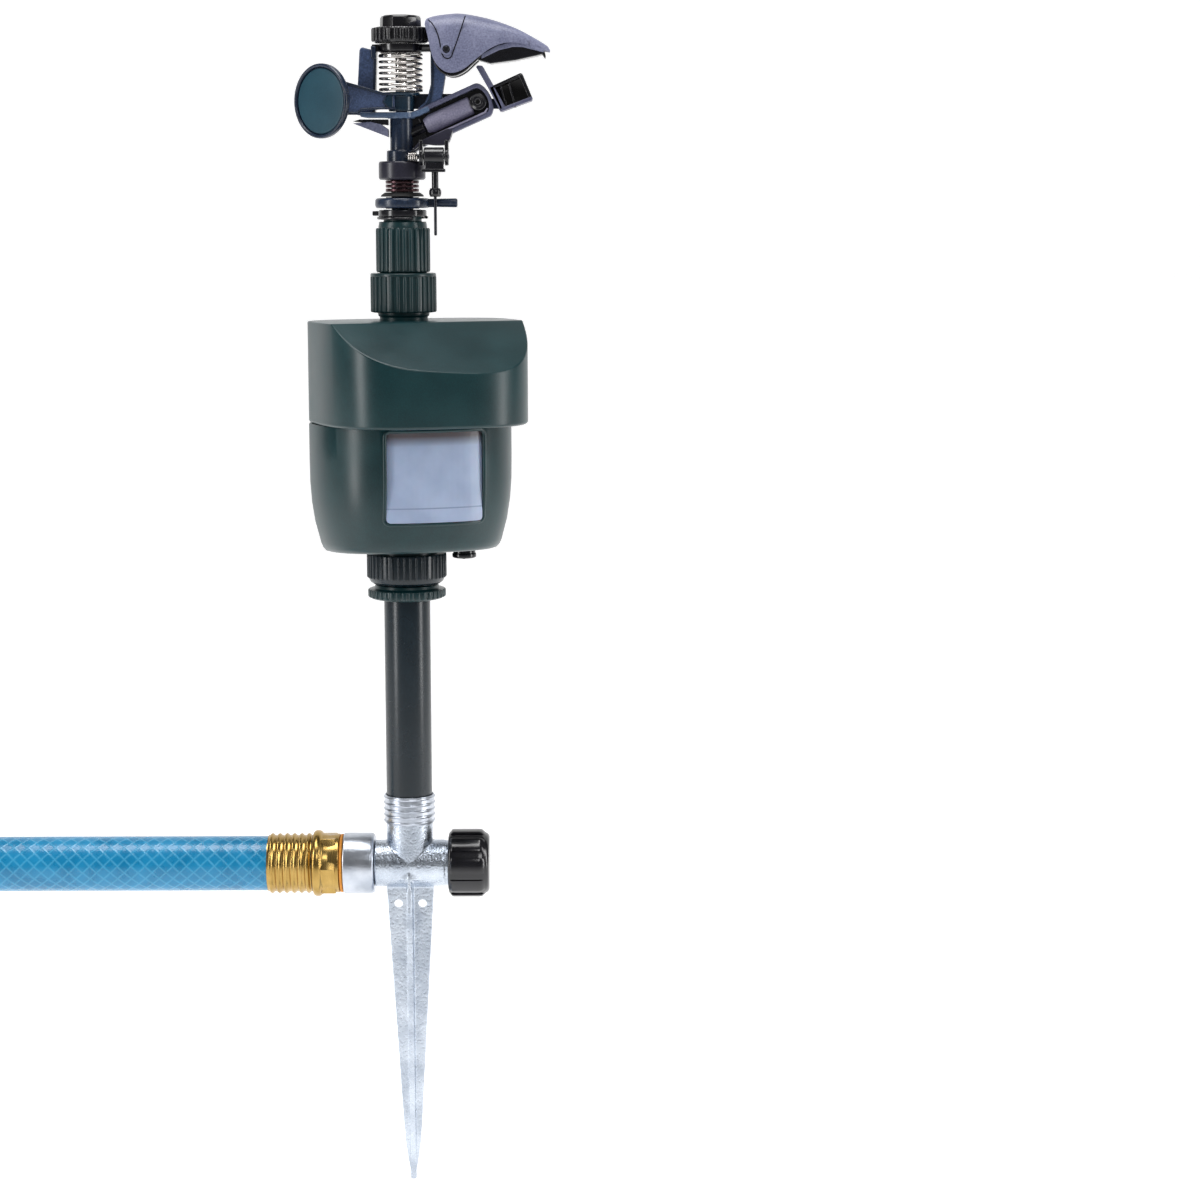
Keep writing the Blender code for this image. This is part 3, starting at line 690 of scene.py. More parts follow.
ROW = bpy.data.node_groups.new("row_about_axis", "GeometryNodeTree")
ROW_INPUTS = sockets(
    ROW,
    ("Piece", "NodeSocketObject"),
    ("Count", "NodeSocketInt"),
    ("Turn", "NodeSocketFloat"),
    ("Rise", "NodeSocketFloat"),
    ("Finish", "NodeSocketMaterial"),
)
given = add(ROW, "NodeGroupInput")
index = add(ROW, "GeometryNodeInputIndex").outputs[0]
turn = add(ROW, "ShaderNodeMath", {0: index, 1: given.outputs["Turn"]}, operation="MULTIPLY")
rise = add(ROW, "ShaderNodeMath", {0: index, 1: given.outputs["Rise"]}, operation="MULTIPLY")
angle = add(ROW, "ShaderNodeCombineXYZ", {"Z": turn.outputs[0]})
height = add(ROW, "ShaderNodeCombineXYZ", {"Z": rise.outputs[0]})
spots = add(ROW, "GeometryNodePoints", {"Count": given.outputs["Count"], "Position": height.outputs[0]})
piece = add(ROW, "GeometryNodeObjectInfo", {"Object": given.outputs["Piece"]})
copies = add(
    ROW,
    "GeometryNodeInstanceOnPoints",
    {"Points": spots.outputs[0], "Instance": piece.outputs["Geometry"], "Rotation": angle.outputs[0]},
)
finish_tree(ROW, copies.outputs[0], given.outputs["Finish"])

# %% A tree that winds a wire
WINDING = bpy.data.node_groups.new("winding", "GeometryNodeTree")
WINDING_INPUTS = sockets(
    WINDING,
    ("Turns", "NodeSocketFloat"),
    ("Start radius", "NodeSocketFloat"),
    ("End radius", "NodeSocketFloat"),
    ("Height", "NodeSocketFloat"),
    ("Wire", "NodeSocketFloat"),
    ("Finish", "NodeSocketMaterial"),
)
given = add(WINDING, "NodeGroupInput")
spiral = add(
    WINDING,
    "GeometryNodeCurveSpiral",
    {
        "Resolution": 48,
        "Rotations": given.outputs["Turns"],
        "Start Radius": given.outputs["Start radius"],
        "End Radius": given.outputs["End radius"],
        "Height": given.outputs["Height"],
    },
)
ring = add(
    WINDING,
    "GeometryNodeCurvePrimitiveCircle",
    {"Resolution": 12, "Radius": given.outputs["Wire"]},
)
wire = add(
    WINDING,
    "GeometryNodeCurveToMesh",
    {"Curve": spiral.outputs[0], "Profile Curve": ring.outputs[0], "Fill Caps": True},
)
finish_tree(WINDING, wire.outputs[0], given.outputs["Finish"])


# %% Running a tree
def grown(name, tree, values, place, finish, sharp=35.0):
    """Runs a tree and keeps its result as a plain mesh at its place."""
    made = bpy.data.objects.new(name, bpy.data.meshes.new(name))
    scene.collection.objects.link(made)
    step = made.modifiers.new("tree", "NODES")
    step.node_group = tree
    for identifier, value in values.items():
        step[identifier] = value
    plain(made)
    metres = (place or Matrix.Identity(4)).copy()
    metres.translation *= MM
    made.data.transform(metres)
    made.data.materials.clear()
    made.data.materials.append(finish)
    work = bmesh.new()
    work.from_mesh(made.data)
    bmesh.ops.recalc_face_normals(work, faces=work.faces)
    work.to_mesh(made.data)
    work.free()
    made.data.shade_smooth()
    made.data.set_sharp_from_angle(angle=math.radians(sharp))
    return made


def row(name, part, count, finish, place=None, turn=None, rise=0.0):
    """Copies of a part: evenly round local Z, or each one further along it."""
    step = math.tau / count if turn is None else turn
    values = {
        ROW_INPUTS["Piece"]: part,
        ROW_INPUTS["Count"]: count,
        ROW_INPUTS["Turn"]: step,
        ROW_INPUTS["Rise"]: rise * MM,
        ROW_INPUTS["Finish"]: finish,
    }
    plain(part)
    made = grown(name, ROW, values, place, finish)
    bpy.data.objects.remove(part)
    print(name, "has", count, "copies")
    return made


def wound(name, radius, wire_radius, low, high, turns, finish, place=None, end_radius=None):
    values = {
        WINDING_INPUTS["Turns"]: float(turns),
        WINDING_INPUTS["Start radius"]: radius * MM,
        WINDING_INPUTS["End radius"]: (end_radius or radius) * MM,
        WINDING_INPUTS["Height"]: (high - low) * MM,
        WINDING_INPUTS["Wire"]: wire_radius * MM,
        WINDING_INPUTS["Finish"]: finish,
    }
    place = (place or Matrix.Identity(4)) @ Matrix.Translation((0, 0, low))
    return grown(name, WINDING, values, place, finish, sharp=60)


def rib(radius, low, high, width, proud, power=1.0):
    """A rounded bar on a drum of this radius. A small power makes its top flat."""
    rings = []
    ends = ((0.0, 0.4), (0.35, 0.8), (1.0, 1.0))
    stations = [(low + proud * t, s) for t, s in ends] + [
        (high - proud * t, s)
        for t, s in reversed(ends)
    ]
    for z, size in stations:
        ring = []
        for i in range(9):
            a = math.pi * (i / 8 - 0.5)
            ring.append(
                Vector(
                    (
                        radius - 0.4 + (proud * size + 0.4) * max(math.cos(a), 0.0) ** power,
                        width / 2 * math.sin(a), z,
                    )
                )
            )
        rings.append(ring)
    return lofted("rib", rings, BLACK_NYLON)


# %% [markdown]
# ## Garden hose
# The lead is 188 mm of half-inch braided garden hose, held straight between two couplings. It is
# a curve with a round bevel: the curve is the centreline, so its length can be measured. It comes
# first, because a cord decides how much room the object takes.

# %% Hose
HOSE_RADIUS, HOSE_START, HOSE_END = 14.25, -239.0, -51.2


def brass_crests(name, low, high, count, place):
    """A crimped brass sleeve: a wall with round crests, open at the end that takes the hose."""
    pitch = (high - low) / count
    profile = []
    for i in range(count * 8 + 1):
        t = i / 8
        profile.append((15.15 + 0.62 * math.cos(math.tau * (t - 0.5)), low + pitch * t))
    inner = [(14.7, high), (14.7, low)]
    return turned(name, profile + inner, BRASS, place, fillet=0, sharp=50)


line = bpy.data.curves.new("hose_line", "CURVE")
line.dimensions = "3D"
line.bevel_depth, line.bevel_resolution, line.use_fill_caps = HOSE_RADIUS * MM, 12, True
spline = line.splines.new("POLY")
spline.points.add(15)
for i, point in enumerate(spline.points):
    point.co = ((HOSE_START + (HOSE_END - HOSE_START) * i / 15) * MM, 0, PIPE_Z * MM, 1)
hose = bpy.data.objects.new("garden_hose", line)
line.materials.append(HOSE_VINYL)
scene.collection.objects.link(hose)
settle(hose, "base", "blue_vinyl", "hose")

far_ferrule = brass_crests("far_hose_ferrule", HOSE_START - 0.5, -217.0, 5, ALONG_X)
settle(far_ferrule, "base", "brass", "far_ferrule")


def hexagon(name, across, low, high, place, bore=0.0):
    """A hexagonal nut whose corners are turned off at both ends."""
    body = turned(
        name, [(0, low), (across, low), (across, high), (0, high)], BRASS, place, fillet=0, steps=6,
    )
    corners = [(0, low - 1), (across - 1.2, low - 1), (across + 1.2, low + 1.4)]
    corners += [(across + 1.2, high - 1.4), (across - 1.2, high + 1), (0, high + 1)]
    round_off = turned("round_off", corners, BRASS, place, fillet=0)
    trim = body.modifiers.new("trim", "BOOLEAN")
    trim.operation, trim.solver, trim.object = "INTERSECT", "EXACT", round_off
    plain(body)
    bpy.data.objects.remove(round_off)
    if bore:
        carved(
            body,
            turned(
                "bore", [(0, low - 2), (bore, low - 2), (bore, high + 2), (0, high + 2)], BRASS, place,
            ),
        )
    soft = body.modifiers.new("edges", "BEVEL")
    soft.width, soft.segments, soft.limit_method = 0.3 * MM, 2, "ANGLE"
    return plain(body)


far_sleeve = [
    (6.5, -262), (15.5, -262), (15.5, -249.5), (15.0, -249), (15.0, HOSE_START - 0.8),
    (6.5, HOSE_START - 0.8),
]
far_coupling = gathered(
    "far_hose_coupling",
    turned("far_sleeve", far_sleeve, BRASS, ALONG_X),
    hexagon("far_hex", 17.35, -249, -242, ALONG_X, bore=14),
)
settle(far_coupling, "base", "brass", "far_coupling")

# %% [markdown]
# ## Brass hose end and the inlet nut
# The crimped ferrule grips the hose, and the hexagon behind it takes a spanner. The bead between
# them is part of the same turned piece. The plated nut screws it to the tee.

# %% Inlet
settle(brass_crests("near_hose_ferrule", -73.9, -50.9, 6, ALONG_X), "base", "brass", "hose_ferrule")
bead = [
    (6.5, -50.6), (15.4, -50.6), (16.9, -49.9), (17.35, -48.6), (17.35, -47.4), (16.9, -46.2),
    (15.6, -45.2),
]
shank = bead + [(15.0, -42.0), (15.3, -38.6), (15.5, -36.5), (12.9, -36.5), (12.9, -27.1), (6.5, -27.1)]
fitting = gathered(
    "brass_hose_end",
    turned("brass_shank", shank, BRASS, ALONG_X, fillet=0.6, sharp=50),
    hexagon("brass_hex", 16.7, -45.8, -38.4, ALONG_X, bore=13),
)
settle(fitting, "base", "brass", "hose_fitting")
washer_ring = [(13.2, -36.2), (15.2, -36.2), (15.2, -34.8), (13.2, -34.8)]
settle(
    turned("orange_seal", washer_ring, ORANGE_RUBBER, ALONG_X), "base", "orange_rubber", "orange_washer",
)
nut = [
    (10.0, -18.4), (10.0, -21.8), (13.3, -21.8), (13.3, -34.5), (15.9, -34.5), (15.9, -19.6),
    (15.2, -18.4),
]
settle(turned("inlet_union_nut", nut, PLATED_ZINC, ALONG_X, fillet=0.8), "inlet_nut", "zinc", "inlet_nut")

# %% [markdown]
# ## Tee and ground spike
# Tee, riser socket and spike are one zinc casting. Separate solids are melted into one skin with
# a voxel remesh, which leaves the soft inner corners of a casting. The sharp thread is added
# after that, because a voxel would blunt it.

# %% Casting
WIDTHS = [(12.3, 0), (11.3, -17.7), (10.0, -39.3), (8.7, -61), (7.4, -82.6), (6.1, -104.4)]
WIDTHS += [(4.8, -126.3), (4.0, -137.3), (2.4, -148.2), (0.7, -157.8)]


def blade(name, top, shrink, half, place=None):
    right = [(x * shrink, z) for x, z in WIDTHS]
    outline = [(-top[0], top[1]), (top[0], top[1])] + right + [(-x, z) for x, z in reversed(right)]
    return plate(name, outline, -half, half, CAST_ZINC, place, bevel=0)


run = [
    (0, -24.6), (8.6, -24.6), (8.6, -25), (11.6, -25), (11.8, -22.5), (9.9, -22.5), (9.9, -18.1),
    (12.2, -18.1),
]
run += [(12.2, 18.1), (11.8, 18.6), (11.8, 24.5), (12.6, 24.5), (12.6, 35), (0, 35)]
socket = [(0, 6.3), (11.9, 6.3), (12.1, 36), (12.4, 50.0), (0, 50.0)]
casting = cast_as_one(
    "tee_casting",
    CAST_ZINC,
    0.5,
    turned("run", run, CAST_ZINC, ALONG_X),
    turned("socket", socket, CAST_ZINC),
    blade("wide_blade", (11.5, 4.5), 1.0, 1.6),
    blade("deep_blade", (9.0, 6.2), 0.985, 1.5, Matrix.Rotation(math.pi / 2, 4, "Z")),
    plate(
        "ridge", [(-1.2, -12), (1.2, -12), (0.8, 6), (0, 10), (-0.8, 6)], -12.4, -8, CAST_ZINC, bevel=0,
    ),
    smoothing=2,
)
holes = [
    turned(
        "hole", [(0, -5), (2.3, -5), (2.3, 5), (0, 5)], CAST_ZINC, aim((0, 1, 0), (side * 6.3, 0, -8.4)),
    )
    for side in (-1, 1)
]
bores = turned("bore", [(0, 37), (12.15, 37), (12.15, 60), (0, 60)], CAST_ZINC, fillet=0)
collar = turned(
    "collar", [(12.25, 35.3), (12.9, 35.3), (12.9, 50.2), (12.25, 50.2)], PLATED_ZINC, fillet=0.2,
)
crest = turned(
    "crest", [(12.6, -0.9), (13.1, -0.7), (13.5, 0), (13.1, 0.7), (12.6, 0.9)], PLATED_ZINC, fillet=0.15,
)
carved(casting, bores, *holes)
threads = row(
    "collar_thread", crest, 5, PLATED_ZINC, Matrix.Translation((0, 0, 36.5)), turn=0.0, rise=3.15,
)
casting.data.shade_smooth()
casting.data.set_sharp_from_angle(angle=math.radians(50))
settle(gathered("ground_spike", casting, collar, threads), "base", "zinc", "spike_tee")

# %% [markdown]
# ## Drain cap
# The cap closes the free end of the tee. It's a glossy moulded cup with eight broad grips, made
# as one lug copied round its axis.

# %% Cap
cup = [(0, 38), (13.4, 38), (13.4, 20.3), (15.6, 20.3), (16.6, 21.2), (16.9, 24.0), (16.9, 36.5)]
cup += [(16.6, 38.6), (15.2, 40.9), (14.0, 41.7), (0, 41.7)]


def lug():
    """A broad grip whose face follows the cup's curve."""
    rings = []
    for z, proud in ((21.6, 0.2), (22.2, 0.85), (22.9, 1.0), (36.4, 1.0), (37.8, 0.8), (39.4, -0.6)):
        ring = []
        for i in range(9):
            a = math.radians(-13.5 + 27 * i / 8)
            edge = 0.25 if i in (0, 8) else 0.0
            ring.append(
                Vector(((16.85 + proud - edge) * math.cos(a), (16.85 + proud - edge) * math.sin(a), z))
            )
        for i in range(8, -1, -1):
            a = math.radians(-13.5 + 27 * i / 8)
            ring.append(Vector((15.5 * math.cos(a), 15.5 * math.sin(a), z)))
        rings.append(ring)
    return lofted("lug", rings, BLACK_NYLON, sharp=50)


grips = row("cap_grips", lug(), 9, BLACK_NYLON, ALONG_X @ Matrix.Rotation(math.radians(14), 4, "Z"))
cap = gathered("drain_cap", turned("cap_cup", cup, BLACK_NYLON, ALONG_X, fillet=0.6), grips)
settle(cap, "end_cap", "black_plastic", "end_cap")

# %% [markdown]
# ## Riser, its nut and the flange ring
# The riser is an extruded tube. The nut that holds the housing on it has about forty fine ribs
# for grip, with its lower corner sloped, and the flange ring below it is coarsely knurled.

# %% Riser
tube_wall = [(10.3, 37.2), (11.9, 37.2), (11.9, 174.0), (10.3, 174.0)]
settle(turned("riser_pipe", tube_wall, RISER_ABS), "base", "green_plastic", "riser_tube")
nut = [
    (12.25, 161.2), (17.2, 161.2), (18.8, 162.3), (19.9, 164.8), (19.9, 176.8), (16.0, 176.8),
    (16.0, 163.9), (12.25, 163.9),
]
drum = turned("nut_drum", nut, RISER_ABS, fillet=0.5)
ribs = row("nut_ribs", rib(19.85, 164.4, 176.7, 1.5, 0.75), 40, RISER_ABS)
settle(gathered("riser_union_nut", drum, ribs), "riser_nut", "green_plastic", "riser_nut")
ring = [
    (12.25, 152.9), (15.0, 152.9), (18.4, 153.6), (19.6, 155.2), (19.6, 158.0), (18.9, 158.6),
    (16.9, 158.9),
]
ring += [(16.2, 160.7), (12.25, 160.7)]
drum = turned("flange_drum", ring, NUT_ABS, fillet=0.4)
knurl = row("flange_knurl", rib(19.5, 154.3, 158.3, 2.6, 0.6, 0.6), 36, NUT_ABS)
settle(gathered("flange_knurled_ring", drum, knurl), "base", "green_plastic", "flange_ring")

# %% [markdown]
# ## Sensor housing
# The housing is two mouldings. Seen from above, each outline is a superellipse: rounder in the
# shell, boxier in the hood, flatter at the back. Rings of that outline at many heights are lofted
# into walls, with extra rings where an edge is rounded.

# %% Outlines
FACING_TURN = math.radians(19.5)
FACING = Matrix.Rotation(FACING_TURN, 4, "Z")
SHELL_LOW, SHELL_TOP, HOOD_TOP, WALL = 177.4, 244.7, 296.4, 2.4
SHELL_SHIFT, HOOD_SHIFT = 1.8, 3.6
SHELL_LIFT = 4.4
REAR_POWER = 2.6
FACET_NORMAL = Vector((0.273, -0.565, 1.0)).normalized()
FACET_POINT = Vector((0.0, -31.15, 298.0))
LENS_X, LENS_Z = (-23.4, 26.8), (197.2, 242.6)


def outline_at(width, front, back, power, shift, inset, count=144):
    points = []
    for j in range(count):
        a = math.tau * j / count
        c, s = math.cos(a), math.sin(a)
        depth, p = (front, power) if s < 0 else (back, REAR_POWER)
        u = math.copysign(abs(c) ** (2 / p), c) * (width - inset)
        v = math.copysign(abs(s) ** (2 / p), s) * (depth - inset)
        points.append(FACING @ Vector((u, v, 0)) + Vector((shift, 0, 0)))
    return points


def shell_ring(inset, z, lift=0.0):
    """A ring of the shell; with a lift it rises from the back to the front."""
    ring = []
    for p in outline_at(51.2, 52, 28, 2.4, SHELL_SHIFT, inset):
        back = p.y * math.cos(FACING_TURN) - (p.x - SHELL_SHIFT) * math.sin(FACING_TURN)
        ring.append(Vector((p.x, p.y, z + lift * SHELL_LIFT * (28 - back) / 80)))
    return ring


def hood_ring(inset, z):
    return [Vector((p.x, p.y, z)) for p in outline_at(53, 67, 28.6, 3.2, HOOD_SHIFT, inset)]


def above_facet(depth):
    """The room over the hood's slanted front, or over a plane this far below it."""
    return block(
        "facet", (-110, 110), (-110, 110), (-depth, 80), GREEN_ABS, aim(FACET_NORMAL, FACET_POINT), 0,
    )


def prism(name, x, z, y, corner, finish, place):
    """A block seen from the front with rounded corners."""
    points = []
    for cx, cz, first in ((x[1], z[1], 0), (x[0], z[1], 1), (x[0], z[0], 2), (x[1], z[0], 3)):
        inner = (cx - math.copysign(corner, cx - sum(x) / 2), cz - math.copysign(corner, cz - sum(z) / 2))
        for k in range(7):
            a = math.pi / 2 * (first + k / 6)
            points.append((inner[0] + corner * math.cos(a), inner[1] + corner * math.sin(a)))
    return plate(name, points, y[0], y[1], finish, place, bevel=0)


# %% Shell
rings = [
    shell_ring(8 + WALL, 180.0, 1), shell_ring(WALL, 200.0, 1), shell_ring(WALL, SHELL_TOP),
    shell_ring(0.3, SHELL_TOP),
]
rings += [
    shell_ring(0, 244.2), shell_ring(0, 226.0, 0.3), shell_ring(0.15, 214.0, 0.7),
    shell_ring(0.9, 203.0, 1),
]
rings += [
    shell_ring(2.4, 193.0, 1), shell_ring(4.6, 184.4, 1), shell_ring(5.2, 182.0, 1),
    shell_ring(6.2, 179.6, 1),
]
rings += [shell_ring(7.6, 178.0, 1), shell_ring(9.6, SHELL_LOW, 1)]
shell = lofted("sensor_shell", rings, GREEN_ABS, sharp=40)
carved(
    shell,
    turned("neck", [(0, 170), (16, 170), (16, 190), (0, 190)], GREEN_ABS, fillet=0),
    prism("lens_hole", LENS_X, LENS_Z, (-70, -30), 2.2, GREEN_ABS, FACING),
    prism("door_hole", (-30.3, 30.3), (195, 238), (15, 40), 2.0, GREEN_ABS, FACING),
    turned(
        "dial_hole", [(0, 170), (7, 170), (7, 192), (0, 192)], GREEN_ABS, Matrix.Translation((30, -4, 0)),
        fillet=0,
    ),
)
shell.data.set_sharp_from_angle(angle=math.radians(32))

# %% Lens frame
def shell_front(across, z):
    """The point of the shell's front face at this place across it and this height."""
    insets = [(188.8, 4.6), (197.4, 2.4), (207.4, 0.9), (217.0, 0.15), (227.3, 0.0), (260.0, 0.0)]
    for (z0, a), (z1, b) in zip(insets, insets[1:]):
        if z0 <= z <= z1:
            inset = a + (b - a) * (z - z0) / (z1 - z0)
    shift = Vector((SHELL_SHIFT * math.cos(FACING_TURN), -SHELL_SHIFT * math.sin(FACING_TURN)))
    share = abs((across - shift.x) / (51.2 - inset)) ** 2.4
    return FACING @ Vector((across, shift.y - (52 - inset) * (1 - share) ** (1 / 2.4), z))


def lens_path(out, corner):
    """Points round the lens this far outside its opening, as (across, height)."""
    (x0, x1), (z0, z1) = LENS_X, LENS_Z
    reach = corner - out
    path = []
    for cx, cz, first in (
        (x1 - reach, z1 - reach, 0), (x0 + reach, z1 - reach, 1), (x0 + reach, z0 + reach, 2),
        (x1 - reach, z0 + reach, 3),
    ):
        path.append(
            [
                (cx + corner * math.cos(a), cz + corner * math.sin(a))
                for a in [math.pi / 2 * (first + k / 6) for k in range(7)]
            ]
        )
    points = []
    for arc, following in zip(path, path[1:] + path[:1]):
        (ax, az), (bx, bz) = arc[-1], following[0]
        points += arc + [(ax + (bx - ax) * k / 14, az + (bz - az) * k / 14) for k in range(1, 14)]
    return points


def bead(name, points, radius, finish):
    """A rounded rim that follows these points of the shell's front."""
    outward = FACING @ Vector((0, -1, 0))
    rings = []
    for i, p in enumerate(points):
        ahead = (points[(i + 1) % len(points)] - points[i - 1]).normalized()
        side = ahead.cross(outward).normalized()
        ring = []
        for k in range(12):
            a = math.tau * k / 12
            ring.append(p + side * radius * math.cos(a) + outward * radius * 0.8 * math.sin(a))
        rings.append(ring)
    return lofted(name, rings, finish, ring_closed=True)


rim = bead("lens_rim", [shell_front(x, z) for x, z in lens_path(0.75, 2.9)], 1.0, GREEN_ABS)
settle(gathered("sensor_shell_framed", shell, rim), "base", "green_plastic", "housing_shell")

# %% Hood
under, EDGE = SHELL_TOP + 0.3, 2.2
hood = lofted(
    "sensor_hood", [hood_ring(1.0, under), hood_ring(0, under + 1.0), hood_ring(0, HOOD_TOP)], GREEN_ABS,
    sharp=30,
)
carved(hood, above_facet(0))
eased(hood, EDGE, 5)
room = lofted("hood_room", [hood_ring(WALL, under + WALL), hood_ring(WALL, HOOD_TOP - WALL)], GREEN_ABS)
carved(room, above_facet(WALL))
opening = lofted("hood_opening", [shell_ring(WALL + 2, z) for z in (under - 5, under + 5)], GREEN_ABS)
carved(
    hood, room, opening,
    turned("neck", [(0, 262), (12.6, 262), (12.6, 310), (0, 310)], GREEN_ABS, fillet=0),
)
hood.data.set_sharp_from_angle(angle=math.radians(32))
settle(hood, "base", "green_plastic", "housing_hood")

# %% [markdown]
# ## Sensor lens and battery door
# The lens is a thin bent sheet of milky plastic behind an opening, a little below the surface.
# The battery door at the back isn't seen from the front, so it's kept plain: a panel with a thumb
# catch and three ribs.

# %% Lens and door
bent = [shell_ring(3.4, 190), shell_ring(3.4, 250), shell_ring(1.6, 250), shell_ring(1.6, 190)]
sheet = lofted("sensor_window", bent, LENS_PE, ring_closed=True)
keep = prism(
    "lens_keep", (LENS_X[0] + 0.15, LENS_X[1] - 0.15), (LENS_Z[0] + 0.15, LENS_Z[1] - 0.15), (-70, -30),
    2.05, LENS_PE, FACING,
)
trim = sheet.modifiers.new("trim", "BOOLEAN")
trim.operation, trim.solver, trim.object = "INTERSECT", "EXACT", keep
plain(sheet)
bpy.data.objects.remove(keep)
sheet.data.set_sharp_from_angle(angle=math.radians(35))
settle(sheet, "base", "lens", "sensor_lens")

door_panel = prism("door_panel", (-30, 30), (195.3, 237.7), (25.6, 29.2), 1.8, GREEN_ABS, FACING)
catch = block("catch", (-6, 6), (28.8, 30.8), (232.2, 235.8), GREEN_ABS, FACING, 0.5)
grip = block("grip", (-14, 14), (28.9, 29.7), (-0.6, 0.6), GREEN_ABS, None, 0.25)
grips = row(
    "door_grips", grip, 3, GREEN_ABS, FACING @ Matrix.Translation((0, 0, 205)), turn=0.0, rise=4.0,
)
settle(
    gathered("battery_cover", door_panel, catch, grips), "battery_door", "green_plastic", "battery_door",
)
dial = [(0, 174.6), (5.4, 174.6), (6.2, 175.2), (6.2, 176.9), (5.7, 177.2), (5.7, 184), (0, 184)]
knob = turned("dial_knob", dial, BLACK_NYLON, Matrix.Translation((30, -4, 0)), fillet=0.3)
pointer = block(
    "pointer", (-0.6, 0.6), (-4.6, 4.6), (174.3, 175.4), BLACK_NYLON, Matrix.Translation((30, -4, 0)),
    0.2,
)
settle(gathered("sensitivity_dial", knob, pointer), "range_dial", "black_plastic", "range_dial")

# %% [markdown]
# ## Swivel nut and ribbed adaptor
# The water leaves the housing through a short neck. The nut on it and the adaptor above are
# ribbed all round so that wet hands can turn them, and the ribs end in small rounded shoulders.

# %% Neck
spigot = [
    (8, 312), (8, 186), (12.25, 186), (12.25, 164), (15.6, 164), (15.6, 190), (10.5, 190), (10.5, 288),
]
spigot += [(12.2, 288), (12.2, 298.2), (13.0, 298.8), (13.2, 300.0), (13.2, 312)]
branch = turned(
    "valve_branch", [(3.4, 9.5), (9.0, 9.5), (9.0, 19), (3.4, 19)], BLACK_NYLON,
    aim(FACING @ Vector((-1, 0, 0)), (0, 0, 262)),
)
settle(
    gathered("valve_spigot", turned("spigot", spigot, GREEN_ABS), branch), "base", "black_plastic",
    "valve_body",
)
nut = [
    (13.6, 300.4), (15.6, 300.4), (16.2, 301.0), (16.2, 319.6), (15.6, 320.4), (12.3, 320.4),
    (12.3, 315.2), (13.6, 315.2),
]
drum = turned("swivel_drum", nut, NUT_ABS, fillet=0.4)
rim = turned(
    "swivel_rim", [(15.0, 318.6), (16.75, 318.6), (16.75, 320.0), (16.2, 320.4), (15.0, 320.4)], NUT_ABS,
    fillet=0.3,
)
ribs = row("swivel_ribs", rib(16.15, 300.6, 319.0, 1.9, 0.7, 0.7), 30, NUT_ABS)
settle(gathered("swivel_union_nut", drum, rim, ribs), "swivel_nut", "green_plastic", "swivel_nut")
body = [
    (6.0, 313.6), (13.2, 313.6), (13.2, 314.8), (11.9, 314.8), (11.9, 320.8), (13.1, 320.8),
    (12.9, 342.0),
]
body += [(12.3, 343.3), (12.4, 343.8), (12.0, 346.3), (9.7, 346.3), (9.7, 352.4), (6.0, 352.4)]
drum = turned("adaptor_drum", body, NUT_ABS, fillet=0.4)
ribs = row("adaptor_ribs", rib(12.95, 320.9, 343.1, 2.2, 0.85, 0.6), 26, NUT_ABS)
settle(gathered("ribbed_adaptor", drum, ribs), "base", "green_plastic", "adaptor")

# %% [markdown]
# ## Trip rings and washers
# Two rings with fingers set how far the head turns: its trip wire strikes a finger and reverses.
# A spring clip under the upper ring holds it where it's set. The washers above carry the head.

# %% Trip rings
reach = Matrix.Rotation(math.radians(130), 4, "Z")
lower = turned(
    "lower_ring", [(10.0, 348.8), (12.2, 348.8), (12.2, 352.2), (10.0, 352.2)], BLACK_NYLON, fillet=0.5,
)
finger = block("lower_finger", (11.5, 25), (-1.2, 1.2), (349.2, 351.8), BLACK_NYLON, reach, 0.5)
clip = wound(
    "clip_wire", 12.4, 0.75, 347.9, 348.5, 0.86, BLACK_NYLON, Matrix.Rotation(math.radians(-62), 4, "Z"),
)
settle(
    gathered("lower_trip_clip", lower, finger, clip), "lower_trip_ring", "black_plastic",
    "lower_trip_ring",
)
upper = [
    (8.9, 353.1), (12.9, 353.1), (13.7, 353.7), (13.9, 355.0), (13.9, 357.0), (13.4, 357.9),
    (12.6, 358.2), (8.9, 358.2),
]
upper = turned("upper_ring", upper, NAVY_NYLON, fillet=0.4)
tab = block("upper_tab", (12, 17.2), (-3.4, 3.4), (353.5, 357.8), NAVY_NYLON, None, 0.9)
finger = turned(
    "upper_finger", [(0, 14), (2.0, 14), (2.2, 20), (2.3, 27.3), (1.9, 28), (0, 28)], NAVY_NYLON,
    aim((1, 0, 0), (0, 0, 355.7)),
)
settle(
    gathered("upper_trip_collar", upper, tab, finger), "upper_trip_ring", "green_plastic",
    "upper_trip_ring",
)
sleeve = turned("bearing_bush", [(6.0, 352.8), (8.6, 352.8), (8.6, 358.6), (6.0, 358.6)], BLACK_NYLON)
settle(sleeve, "base", "black_plastic", "bearing_sleeve")
cone = turned(
    "cone_seal", [(6.0, 358.9), (11.0, 358.9), (10.8, 359.6), (9.0, 361.0), (6.0, 361.0)], BLACK_RUBBER,
)
settle(cone, "base", "rubber", "cone_washer")
for i in range(3):
    z = 361.3 + 2.05 * i
    made = turned(
        f"bearing_washer_{i + 1}", [(6.0, z), (8.5, z), (8.5, z + 1.7), (6.0, z + 1.7)], BRONZE,
        fillet=0.5,
    )
    settle(made, "base", "copper", f"thrust_washer_{i + 1}")

# %% [markdown]
# ## The rotating head
# One nylon moulding carries everything that turns: the stem that the water rises through, the
# platform, the long loop that holds the nozzle, and the frame for the arm's pin and spring. Each
# wall is a plate cut from its outline with rounded edges, since that is how its mould was cut.

